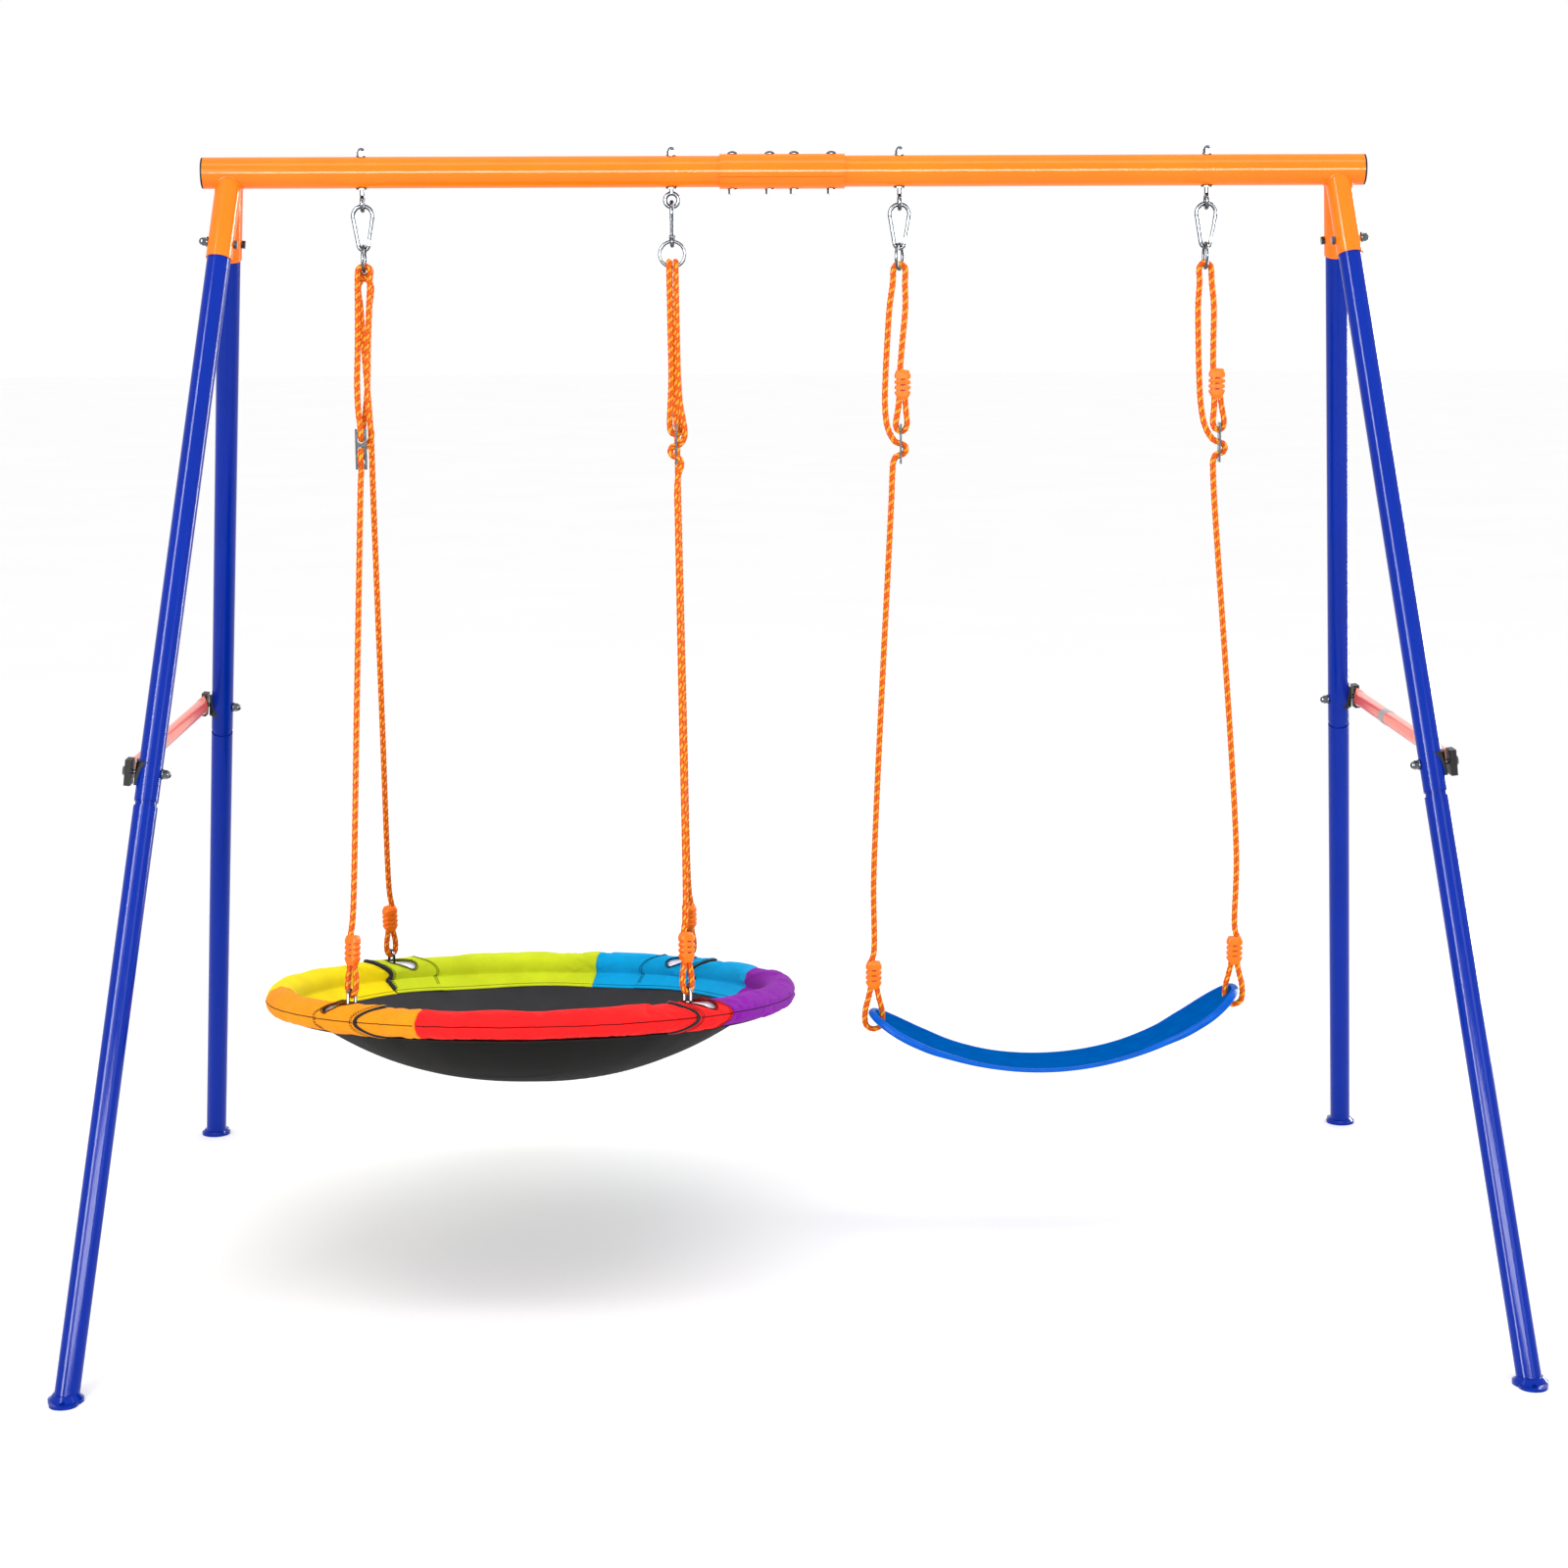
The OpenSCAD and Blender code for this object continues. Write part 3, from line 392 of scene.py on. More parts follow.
def rings_along(path, radius, turn, closed=False):
    """Rings of points round a path at the given turns, in a frame that twists as little as it can."""
    ahead = np.roll(path, -1, 0) if closed else np.vstack([path[1:], path[-1:]])
    behind = np.roll(path, 1, 0) if closed else np.vstack([path[:1], path[:-1]])
    tangent = unit(ahead - behind)
    side = unit(np.cross(tangent[0], (.3, 1, .1)))
    sides = []
    for t in tangent:
        side = unit(side - (side @ t) * t)
        sides.append(side)
    side, up = arr(sides), np.cross(tangent, sides)
    spin = np.cos(turn)[None, :, None] * side[:, None] + np.sin(turn)[None, :, None] * up[:, None]
    return (path[:, None] + radius * spin).reshape(-1, 3)


def tube(path, radius, sides=12, closed=False):
    """Vertices and faces of a round tube; radius is one number or one for each point."""
    radius = np.broadcast_to(radius, len(path))[:, None, None]
    skin = rings_along(path, radius, np.linspace(0, 2 * np.pi, sides, endpoint=False), closed)
    faces = [f[::-1] for f in grid_faces(len(path), sides, True, closed)]
    return skin, faces + ([] if closed else end_caps(len(path), sides))


def squared_circle(sides, power):
    """x and y of a circle of radius 1 that grows square as the power falls below 1."""
    angle = np.linspace(0, 2 * np.pi, sides, endpoint=False)
    return [np.sign(w) * abs(w) ** power for w in (np.cos(angle), np.sin(angle))]


def joined(parts):
    """One list of vertices and faces from several."""
    vertices, faces, start = [], [], 0
    for v, f in parts:
        vertices.append(arr(v))
        faces += [tuple(k + start for k in face) for face in f]
        start += len(v)
    return np.vstack(vertices), faces


# ---- ropes ----

def from_rim(local):
    """Points in the rim's own tilted frame, brought into the shared frame."""
    c, s = cos(RIM_TILT), sin(RIM_TILT)
    x, y, z = np.moveaxis(arr(local), -1, 0)
    return arr(RIM_CENTRE) + np.stack([x, y * c + z * s, -y * s + z * c], -1)


def to_rim(points):
    """x, y and z of points in the rim's own frame."""
    c, s = cos(RIM_TILT), sin(RIM_TILT)
    x, y, z = np.moveaxis(points - arr(RIM_CENTRE), -1, 0)
    return x, y * c - z * s, y * s + z * c


def rim_point(angle):
    a = radians(angle)
    return from_rim((RIM_R * cos(a), RIM_R * sin(a), 0))


def ring_point(i):
    """The middle of ring i's wire, where the rope hangs."""
    return arr((EYE_X[i], 0, RING_LOW[i]))


def on_line(i, seat, offset):
    """A point below ring i's wire on the line to a seat point; the offset is x, y and down, in millimetres."""
    x, y, down = arr(offset) / 1000
    top = ring_point(i)
    return top + (seat - top) * down / (top[2] - seat[2]) + (x, y, 0)


LOOP_DROP = .0013  # the turn's middle lies this far below the wire's


def over_ring(i, across, at_x=0, at_y=0):
    """The turn over a ring's wire."""
    middle = ring_point(i) + (at_x, at_y, -LOOP_DROP)
    turn = [radians(a) for a in range(180, -1, -30)]
    return [middle + LOOP_R * (cos(a) * arr(across) + (0, 0, sin(a))) for a in turn]


def corner_axes(corner):
    """Seat point, direction up the rope and direction along the rim at one corner of the saucer."""
    seat = rim_point(CORNERS[corner])
    up = unit(ring_point(corner % 2) - seat)
    along = rim_point(CORNERS[corner] + 1) - rim_point(CORNERS[corner] - 1)
    return seat, up, unit(along - (along @ up) * up)


def rim_eye(corner):
    """From the clamp through the link and back, then up the leg."""
    seat, up, along = corner_axes(corner)
    points = [(STRAND, .130), (STRAND, .108), (STRAND, .086), (.0088, .066), (.0092, .052), (.007, .0425),
              (0, .038), (-.007, .0425), (-.0092, .052), (-.0088, .066), (-STRAND, .086), (-STRAND, .134),
              (-.002, .152), (0, .180), (0, .500)]
    return [seat + up * h + along * s for s, h in points]


# the way through an adjuster and points below a ring, in millimetres: x, y and the way down
THROUGH = [(0, 400), (0, 360), (3, 334), (8, 320), (6, 310), (0, 307), (-7, 304), (-9.5, 297.5), (-7, 291), (0, 288)]
LEFT_WEAVE = [(0, y, down) for y, down in THROUGH]
LEFT_WEAVE += [(4, 6, 286), (11, 9, 278), (16, 4, 266), (15, -3, 250), (11, -5.3, 220), (8, -5.3, 180),
               (8, -5.3, 120), (9, -5.3, 60), (10, -5.3, 20)]
LEFT_RETURN = [(-10, -5.3, 20), (-9, -5.3, 60), (-8, -5.3, 120), (-8, -5.5, 180), (-5, -7.5, 225),
               (-1, -9.5, 250), (0, -8.5, 264), (0, -4.6, 269), (0, 0, 270.5), (0, 4.6, 269), (0, 8.5, 264),
               (2, 9.5, 250), (5, 7.5, 225), (8, 5.5, 180), (8, 5.3, 120), (9, 5.3, 60), (10, 5.3, 20)]
LEFT_BACK = [(-10, 5.3, 20), (-9, 5.3, 60), (-5, 4, 150), (0, 0, 260), (0, 0, 400)]
RIGHT_WEAVE = [(x, 0, down) for x, down in THROUGH]
RIGHT_WEAVE += [(6, -1, 286), (12, -5, 279), (15, -8.5, 267), (13, -9, 250), (8, -9, 220), (5.3, -9, 180),
                (5.3, -9, 120), (5.3, -9, 60), (5.3, -10, 20)]
RIGHT_RETURN = [(5.3, 10, 20), (5.3, 9, 60), (5.3, 8, 120), (6, 7, 180), (8, 5, 225), (9.5, 3, 250),
                (8.5, 1, 264), (4.6, 0, 269), (0, 0, 270.5), (-4.6, 0, 269), (-8.5, -1, 264),
                (-9.5, -3, 250), (-8, -6, 225), (-5.5, -8, 180), (-5.3, -9, 120), (-5.3, -9, 60),
                (-5.3, -10, 20)]
RIGHT_BACK = [(-5.3, 10, 20), (-5.3, 9, 60), (-4, 4, 150), (0, 0, 260), (0, 0, 400)]
BELT_EYE = [(17.1, 0, 172), (17.1, 0, 192), (17.1, 0, 213), (19.5, 0, 235), (21.5, 0, 252), (19, 0, 262),
            (12, 0, 266), (5, 0, 262), (3, 0, 252), (5, 0, 235), (6.9, 0, 213), (6.9, 0, 165), (9, 0, 120),
            (12, 0, 60), (10, 0, 20)]
BELT_WEAVE = [(-10, 0, 20), (-14, 0, 60), (-16, 0, 120), (-17, 0, 180), (-16, 0, 225), (-11, 0, 258),
              (-2, 0, 277), (5, 0, 284), (12, 0, 286), (18.5, 0, 289), (21.5, 0, 295.5), (18.5, 0, 302),
              (12, 0, 305), (5, 0, 308), (1, 0, 316), (0, 0, 335), (0, 0, 370)]
BELT_LOW_EYE = [(0, .250), (0, .118), (-STRAND, .100), (-STRAND, .060), (-.009, .040), (-.014, .020),
                (-BELT_LOOP, .002), (-.013, -.007), (-.0075, -.0125), (0, -.0145), (.0075, -.0125), (.013, -.007),
                (BELT_LOOP, .002), (.014, .020), (.009, .040), (STRAND, .060), (STRAND, .080), (STRAND, .098)]


def saucer_route(i, up_front, down_front, down_back, front_turn, back_turn):
    """From a front corner over ring i, through the adjuster, over the ring again and to the back corner."""
    front, back = rim_point(CORNERS[i]), rim_point(CORNERS[i + 2])
    return (rim_eye(i) + [on_line(i, front, p) for p in up_front] + over_ring(i, *front_turn)
            + [on_line(i, front, p) for p in down_front] + over_ring(i, *back_turn)
            + [on_line(i, back, p) for p in down_back] + rim_eye(i + 2)[::-1])


def belt_point(u, w=0., y=0.):
    """u along the chord between the belt's tips, w above it."""
    c, s = cos(BELT_TILT), sin(BELT_TILT)
    return arr((BELT_X + u * c - w * s, y, BELT_TIP_Z + u * s + w * c))


def belt_drop(u):
    """How far the belt's middle surface lies below the line of its tips."""
    return sqrt(BELT_R ** 2 - u ** 2) - (BELT_R - BELT_SAG)


def belt_seat_point(side):
    """The middle of the rope's loop at one end of the belt."""
    return belt_point(side * (BELT_HOLE + BELT_LOOP), -belt_drop(BELT_HOLE))


def belt_route(i, side):
    """From the eye below ring i over the ring, through the adjuster and round the belt's end."""
    seat = belt_seat_point(side)
    return ([on_line(i, seat, p) for p in BELT_EYE] + over_ring(i, (-1, 0, 0))
            + [on_line(i, seat, p) for p in BELT_WEAVE]
            + [seat + arr((-side * x, 0, z)) for x, z in BELT_LOW_EYE])


LEFT_TURNS = ((-1, 0, 0), 0, -.0053), ((1, 0, 0), 0, .0053)
RIGHT_TURNS = ((0, 1, 0), .0053, 0), ((0, 1, 0), -.0053, 0)
ROPES = (  # name, body, length and route
    ("saucer_left_rope", "saucer_swing", 3.32,
     saucer_route(0, LEFT_WEAVE, LEFT_RETURN, LEFT_BACK, *LEFT_TURNS)),
    ("saucer_right_rope", "saucer_swing", 3.31,
     saucer_route(1, RIGHT_WEAVE, RIGHT_RETURN, RIGHT_BACK, *RIGHT_TURNS)),
    ("belt_left_rope", "belt_swing", 1.85, belt_route(2, -1)),
    ("belt_right_rope", "belt_swing", 1.81, belt_route(3, 1)),
)
ROPE_SIDES, ROPE_STEP = 18, .0021
ROPE_CROWN, ROPE_DIP = .0052, .0011  # radius on a stitch's crown, and how deep its edge lies


def rope(name, body, length, route):
    """A braided rope: each stitch of the braid is a low crown on the tube."""
    path = spline(route, ROPE_STEP)
    run = run_length(path)
    share = np.arange(ROPE_SIDES) / ROPE_SIDES
    turn = share * COLUMNS
    x = turn % 1 - .5 + .5 / (ROPE_SIDES / COLUMNS)
    row = run[:, None] / STITCH + np.floor(turn) % 2 * .5 + SLANT * x
    crown = (1 - 4 * x ** 2) * (1 - 4 * (row % 1 - .5) ** 2)
    radius = ROPE_CROWN - ROPE_DIP * (1 - np.clip(crown, 0, 1) ** .6)
    skin = rings_along(path, radius[:, :, None], 2 * np.pi * (share + .5 / ROPE_SIDES))
    faces = [f[::-1] for f in grid_faces(len(path), ROPE_SIDES, True)] + end_caps(len(path), ROPE_SIDES)
    uv = []
    for low, high in zip(run, run[1:]):
        for j in range(ROPE_SIDES):
            a, b = (j + .5) / ROPE_SIDES, (j + 1.5) / ROPE_SIDES
            uv += [(a, high), (b, high), (b, low), (a, low)]
    uv += [(0, 0)] * (2 * ROPE_SIDES)
    made = piece(name + "_braid", skin, faces, MATERIALS["rope"], body, "orange_rope", uv)
    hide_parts(name)


# ---- stage and lights ----

def make_stage():
    """A wide pale floor and white surroundings."""
    half = 40.
    corners = [(-half, -half, 0), (half, -half, 0), (half, half, 0), (-half, half, 0)]
    floor = piece("floor", corners, [(0, 1, 2, 3)], floor_material())
    world = bpy.data.worlds.new("studio")
    world.use_nodes = True
    background = world.node_tree.nodes["Background"].inputs
    background["Color"].default_value, background["Strength"].default_value = (1., 1., 1., 1.), 1.
    bpy.context.scene.world = world
    bpy.context.scene.view_settings.view_transform = "Standard"


LIGHTS = (  # name, place, target, size, power, and whether it is only mirrored
    ("softbox_left", (-3.5, -3.6, 2.4), (0, 0, 1.2), (1.1, 5.0), 560, True),
    ("softbox_right", (3.6, 2.4, 2.2), (0, 0, 1.1), (1.0, 4.4), 420, True),
    ("softbox_front", (.2, -4.6, 1.95), (.2, 0, 1.85), (3.8, .75), 230, True),
    ("key", (-2.2, -3.8, 2.6), (0, 0, .9), (1.4, 2.0), 45, False),
    ("fill", (3.0, -3.4, 2.2), (0, 0, .9), (1.4, 2.0), 30, False),
    ("top", (0, -1.2, 4.2), (0, 0, .6), (4.5, .8), 40, False),
    ("back", (1.2, 3.6, 2.8), (0, 0, 1.), (2.5, 2.5), 12, False),
)


def area_light(name, place, target, size, power, mirrored_only):
    """A softbox. One that is only mirrored gives the gloss its streaks and leaves the soft light alone."""
    data = bpy.data.lights.new(name, "AREA")
    data.shape, data.size, data.size_y, data.energy = "RECTANGLE", size[0], size[1], power
    lamp = added(name, data)
    aim = (Vector(target) - Vector(place)).to_track_quat("-Z", "Y")
    lamp.matrix_world = Matrix.Translation(place) @ aim.to_matrix().to_4x4()
    lamp.visible_camera, lamp.visible_diffuse = False, not mirrored_only


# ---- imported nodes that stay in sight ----

CAD_LOOKS = {
    "orange": ("left_top_tube", "right_top_tube", "sleeve_upper_half", "sleeve_lower_half"),
    "leg_blue": tuple(f"{side}_{depth}_{part}_leg" for side in ("left", "right") for depth in ("front", "back")
                      for part in ("upper", "lower")),
    "black": ("beam_end_caps", "brace_saddles", "brace_end_caps"),
    "band": ("brace_band",),
    "tube": ("saucer_rim_tube",),
    "zinc": ("sleeve_bolts", "sleeve_nuts", "socket_bolts", "socket_nuts", "brace_bolts", "brace_nuts",
             "eye_bolts", "eye_bolt_nuts", "saucer_hooks", "belt_hooks", "gate_1", "gate_2", "gate_3", "gate_4",
             "saucer_rings", "belt_rings", "saucer_rope_adjusters", "belt_rope_adjusters", "saucer_links"),
}
NO_BEVEL = {"saucer_hooks", "belt_hooks", "saucer_rings", "belt_rings", "saucer_links", "saucer_rim_tube"}


def dress_nodes():
    """Materials and softly rounded edges for the nodes whose shape is already right."""
    for look, names in CAD_LOOKS.items():
        for name in names:
            node = NODES[name]
            for slot in node.material_slots:
                slot.material = MATERIALS[look]
            if name not in NO_BEVEL:
                edge = node.modifiers.new("worn_edges", "BEVEL")
                edge.width, edge.segments = .0005, 2
                edge.limit_method, edge.angle_limit = "ANGLE", radians(35)
                edge.harden_normals = True


# ---- braces and welds ----

BEAM_H, BEAM_R = 1.826, .0255
LEG_TOP_X, FOOT_X, FOOT_Y = .907, 1.104, .727
SOCKET_R, SOCKET_LEN = .0212, .149
LEG_R = .019
BRACE_DROP = 1.007  # distance down a leg to its brace bolt
BRACE_OUT = LEG_R + .013  # from a leg's middle to the brace's
BRACE_R, BRACE_FLAT_W, BRACE_FLAT_T = .0125, .034, .004
BRACE_FLAT_IN, BRACE_FLAT_OUT = .016, .0145  # the flat end, inward and outward of its bolt
BRACE_FLARE = .030
BRACE_TIP = .006  # radius of the ends' corners
LEAN = atan((FOOT_X - LEG_TOP_X) / BEAM_H)
SIDE_H = hypot(FOOT_X - LEG_TOP_X, BEAM_H)
LEG_A = atan(FOOT_Y / SIDE_H)


def side_plane(side, x, y, z):
    """A point of a leg pair's own leaning plane, brought into the shared frame."""
    return arr((side * (FOOT_X + x * cos(LEAN) - z * sin(LEAN)), y,
                x * sin(LEAN) + z * cos(LEAN)))


def brace(side, name):
    """Round tube pressed flat at both ends, lofted in one skin."""
    bolt_y = BRACE_DROP * sin(LEG_A)
    height = SIDE_H - BRACE_DROP * cos(LEG_A)
    end, bend = bolt_y + BRACE_FLAT_OUT, bolt_y - BRACE_FLAT_IN - BRACE_FLARE
    half = np.concatenate([np.linspace(0, bend, 40, endpoint=False),
                           np.linspace(bend, end - BRACE_TIP, 30, endpoint=False),
                           np.linspace(end - BRACE_TIP, end, 8)])
    along = np.concatenate([-half[:0:-1], half])
    sides = 48
    skin = []
    for y in along:
        flat = smooth((abs(y) - bend) / BRACE_FLARE)
        tip = np.clip((abs(y) - (end - BRACE_TIP)) / BRACE_TIP, 0, 1)
        wide = BRACE_R + (BRACE_FLAT_W / 2 - BRACE_R) * flat - BRACE_TIP * (1 - sqrt(1 - tip ** 2))
        thick = BRACE_R + (BRACE_FLAT_T / 2 - BRACE_R) * flat
        outline = zip(*squared_circle(sides, 2 / (2 + 5 * flat)))
        skin += [side_plane(side, BRACE_OUT + thick * x, y, height + wide * z) for x, z in outline]
    faces = grid_faces(len(along), sides, True) + [f[::-1] for f in end_caps(len(along), sides)]
    if side < 0:
        faces = [f[::-1] for f in faces]
    made = piece(name + "_tube", skin, faces, MATERIALS["coral"], "frame", "orange_powder_coat")
    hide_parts(name)


BEAD_R = .0019


def weld_beads(side):
    """Beads where the two leg sockets meet the top tube and each other."""
    top = side_plane(side, 0, 0, SIDE_H)
    parts = []
    for depth in (-1, 1):
        down = unit(side_plane(side, 0, depth * FOOT_Y, 0) - top)
        u = unit(np.cross(down, (1, 0, 0)))
        v = np.cross(down, u)
        q = down[1:]
        ring, seam = [], []
        for a in np.linspace(0, 2 * np.pi, 120, endpoint=False):
            off = SOCKET_R * (cos(a) * u + sin(a) * v)
            b, c = 2 * q @ off[1:], off[1:] @ off[1:] - (BEAM_R + .0004) ** 2
            s = (-b + sqrt(max(0, b * b - 4 * (q @ q) * c))) / (2 * (q @ q))
            ring.append(top + s * down + off)
            t = -off[1] / down[1]
            spot = top + t * down + off
            if depth < 0 and .04 < t < SOCKET_LEN and hypot(spot[1], spot[2] - BEAM_H) > BEAM_R - .002:
                seam.append(spot)
        parts.append(tube(even(closed_line(ring), .0022)[:-1], BEAD_R, 10, True))
        if seam:
            seam = arr(sorted(seam, key=lambda p: (p - top) @ (1, 0, 0)))
            parts.append(tube(even(seam, .002), BEAD_R, 10))
    name = ("left" if side < 0 else "right") + "_weld_beads"
    piece(name, *joined(parts), MATERIALS["orange"], "frame", "orange_powder_coat")


# ---- rope clamps ----

CLAMP_X, CLAMP_Y, CLAMP_L = .0136, .0086, .048  # half-width, half-depth, length
CLAMP_GROOVES = (-.009, 0., .009)
CLAMP_DOME = .0012  # rise of the ends


def clamp_shape(ridge):
    """Vertices, faces and a mark for the slot faces, which take a darker red of painted shade; Z runs along the
    ropes.
    """
    levels, sides = 109, 104
    z = np.linspace(-CLAMP_L / 2, CLAMP_L / 2, levels)[:, None]
    below, above = z + CLAMP_L / 2, CLAMP_L / 2 - z
    x0, y0 = squared_circle(sides, 2 / 3.4)
    wide = CLAMP_X * (.62 + .38 * smooth(below / .012)) * (.80 + .20 * smooth(above / .0075))
    deep = CLAMP_Y * (.84 + .16 * smooth(below / .006)) * (.84 + .16 * smooth(above / .005))
    notch = sum(bell(z - g, .0018, 4) for g in CLAMP_GROOVES)
    x = wide * x0 * (1 - .24 * notch * smooth((abs(x0) - .5) / .35))
    slot = sum(smooth((.0014 - abs(z - g)) / .0006) for g in CLAMP_GROOVES) * smooth((.0042 - abs(x)) / .0007)
    y = deep * y0 * (1 - .36 * slot)
    if ridge:
        y = y + np.sign(y0) * .0012 * bell(z - .0045, .0014, 4) * (1 - slot)
    skin = np.stack([x, y, np.broadcast_to(z, x.shape)], 2).reshape(-1, 3)
    faces = grid_faces(levels, sides, True)
    for end, turn in ((0, -1), (levels - 1, 1)):
        middle = len(skin)
        skin = np.vstack([skin, [(0, 0, z[end, 0] + turn * CLAMP_DOME)]])
        for j in range(sides):
            pair = (end * sides + j, end * sides + (j + 1) % sides)
            faces.append((*pair[::turn], middle))
    # the slot faces are marked for the darker red of painted shade
    return skin, faces, [*(slot[:-1] > .5).ravel(), *[False] * (2 * sides)]


def clamps(name, places, body):
    """Each place is a middle point, the directions along and across the ropes, and whether it has a ridge."""
    parts, shade_marks = [], []
    for middle, up, across, ridge in places:
        skin, faces, mark = clamp_shape(ridge)
        parts.append((middle + skin @ np.stack([across, np.cross(up, across), up]), faces))
        shade_marks += mark
    made = piece(name + "_moulded", *joined(parts), MATERIALS["clamp"], body, "orange_plastic")
    # the marked slot faces take the darker red of painted shade
    made.data.materials.append(MATERIALS["clamp_slot_painted_shade"])
    made.data.polygons.foreach_set("material_index", [int(m) for m in shade_marks])
    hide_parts(name)


def make_clamps():
    """One on each end of the saucer's ropes, two on each of the belt's."""
    corners = [corner_axes(c) for c in range(4)]
    clamps("saucer_rope_clamps", [(seat + up * CLAMP_H, up, along, False) for seat, up, along in corners],
           "saucer_swing")
    upright = (0, 0, 1), (1, 0, 0)
    places = []
    for i, side in ((2, -1), (3, 1)):
        seat = belt_seat_point(side)
        places += [(on_line(i, seat, (12, 0, 189)), *upright, True), (seat + (0, 0, .080), *upright, False)]
    clamps("belt_rope_clamps", places, "belt_swing")


# ---- belt seat ----

BELT_W, BELT_LOBE = .0595, .067  # half-width of the waist, radius of the round ends
BELT_LOBE_X = BELT_SPAN / 2 - BELT_LOBE  # their middle
BELT_HOLE_R = .009
BELT_ROLL, BELT_HIGHLIGHT_EDGE = .0052, .0066  # width of the edge's rounding, and of its band with a shinier finish and a lighter blue that is painted highlight
BELT_T = .0058  # thickness away from the beads


def belt_bend(x, y, height):
    """A point of the flat belt, at a height above its middle surface, on the sagging belt."""
    rise = sqrt(BELT_R ** 2 - x * x)
    return belt_point(x - height * x / BELT_R, -belt_drop(x) + height * rise / BELT_R, y)


def belt_outline():
    """Half the outline of the flat belt, from the middle to a tip, as x and y."""
    points = [(x, BELT_W + (BELT_LOBE - BELT_W) * smooth((x - .178) / .045), 0)
              for x in np.linspace(0, BELT_LOBE_X, 90)]
    points += [(BELT_LOBE_X + BELT_LOBE * cos(a), BELT_LOBE * sin(a), 0)
               for a in np.linspace(pi / 2, 0, 40)[1:]]
    return even(spline(points, .002), .0028)[:, :2]


def belt_seat():
    """Moulded belt: thin, with a rolled bead along the edge that grows toward the ends and a groove inside it."""
    quarter = belt_outline()
    right = np.vstack([quarter, quarter[::-1][1:] * (1, -1)])
    left = (right * (-1, 1))[::-1][1:-1]
    line = np.roll(np.vstack([right, left]), 1 - len(quarter), 0)
    spine = np.stack([np.clip(line[:, 0], -BELT_LOBE_X, BELT_LOBE_X), np.zeros(len(line))], 1)
    width = norm(line - spine, axis=1)
    depths = np.concatenate([[0, .0004, .0012, .0024, .0038, .0052, .0066, .0080, .0095, .0115],
                             np.linspace(.0145, .058, 13)])
    rings = []
    for depth, face in [(d, 1) for d in depths[::-1]] + [(d, -1) for d in depths[1:]]:
        flat = line + (spine - line) * np.minimum(depth / width, .985)[:, None]
        end = smooth((abs(flat[:, 0]) - .09) / .17)
        bead = (.0009 + .0042 * end) * bell(max(0, depth - .0045), .0032)
        groove = .0010 * end * bell(depth - .0125, .0035)
        height = BELT_T / 2 + (bead - groove if face > 0 else .45 * bead)
        height = face * height * np.sqrt(1 - np.clip(1 - depth / BELT_ROLL, 0, 1) ** 2)
        rings.append([belt_bend(x, y, h) for (x, y), h in zip(flat, height)])
    count = len(line)
    faces = grid_faces(len(rings), count, True)
    for first, turn in ((0, 1), ((len(rings) - 1) * count, -1)):
        for j in range(count // 2):
            quad = [first + k % count for k in (count - j, count - j - 1, j + 1, j)[::turn]]
            faces.append(tuple(dict.fromkeys(quad)))
    made = piece("belt_seat_moulded", np.vstack(rings), faces, MATERIALS["belt"], "belt_seat_body",
                 "belt_plastic")
    # the outer edge band takes the shinier material whose lighter blue is painted highlight
    made.data.materials.append(MATERIALS["belt_edge_painted_highlight"])
    edge = np.searchsorted(depths, BELT_HIGHLIGHT_EDGE)
    start, end = (len(depths) - 1 - edge) * count, (len(depths) + edge) * count
    for polygon in made.data.polygons[start:end]:
        polygon.material_index = 1
    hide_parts("belt_seat")
    for side in (-1, 1):
        cut_hole(made, side * BELT_HOLE)
    made.data.set_sharp_from_angle(angle=radians(38))


def cut_hole(thing, x):
    """Upright rope hole through the belt."""
    path = arr([belt_point(x, -belt_drop(x) + w) for w in (-.03, .03)])
    vertices, faces = tube(path, BELT_HOLE_R, 40)
    mesh = bpy.data.meshes.new("cutter")
    mesh.from_pydata([tuple(v) for v in vertices], [], faces)
    cutter = added("cutter", mesh)
    cut = thing.modifiers.new("hole", "BOOLEAN")
    cut.operation, cut.solver, cut.object = "DIFFERENCE", "EXACT", cutter
    bpy.context.view_layer.update()
    whole = thing.evaluated_get(bpy.context.evaluated_depsgraph_get())
    solid = bpy.data.meshes.new_from_object(whole)
    thing.modifiers.remove(cut)
    thing.data = solid
    bpy.data.objects.remove(cutter)


# ---- saucer: shared shape ----

PAD_R = .0235  # radius of the cover before the cloth swells
BOWL_DEPTH, BOWL_RIM_R, BOWL_RIM_Z = .140, .397, -.012
SHEET_BEND_R, SHEET_EDGE_R, SHEET_EDGE_Z = .372, .412, -.0268
FLANGE_R, FLANGE_LIFT, FLANGE_ROWS = .368, .0022, 6
LEAST_R = .0224  # radius at which the cover lies on the foam
GAPS = ((234.5, 1, 12.5, .0027), (310., -1, 10., .0027),  # rim angle, way it bows, flap's width, piping's radius
        (46.9, -1, 17.1, .0027), (132.7, 1, 14.7, .0042))
BOW, BOW_FADE = 5., 14.  # degrees a gap bows over the pad, and its fade
WINDOWS = (((230.4, 84), (225.8, 42)), ((309.6, 84), (314.2, 42)),  # rim and profile angle of both ends
           ((130.6, 105), (125.8, 142)), ((49.4, 105), (54.2, 142)))
WINDOW_R = .0090  # half a window's width
SECTIONS = {"purple": ((-40, 23),), "blue": ((23, 46.9), (46.9, 76)), "lime": ((76, 132.7),),
            "yellow": ((132.7, 188),), "orange": ((188, 234.5), (234.5, 249)),
            "red": ((249, 310), (310, 320))}
KEYS = [low for runs in SECTIONS.values() for low, _ in runs] + [320]
PSI = np.concatenate([np.linspace(-150, 0, 13)[:-1], np.linspace(0, 205, 17)])  # profile angles of the rows
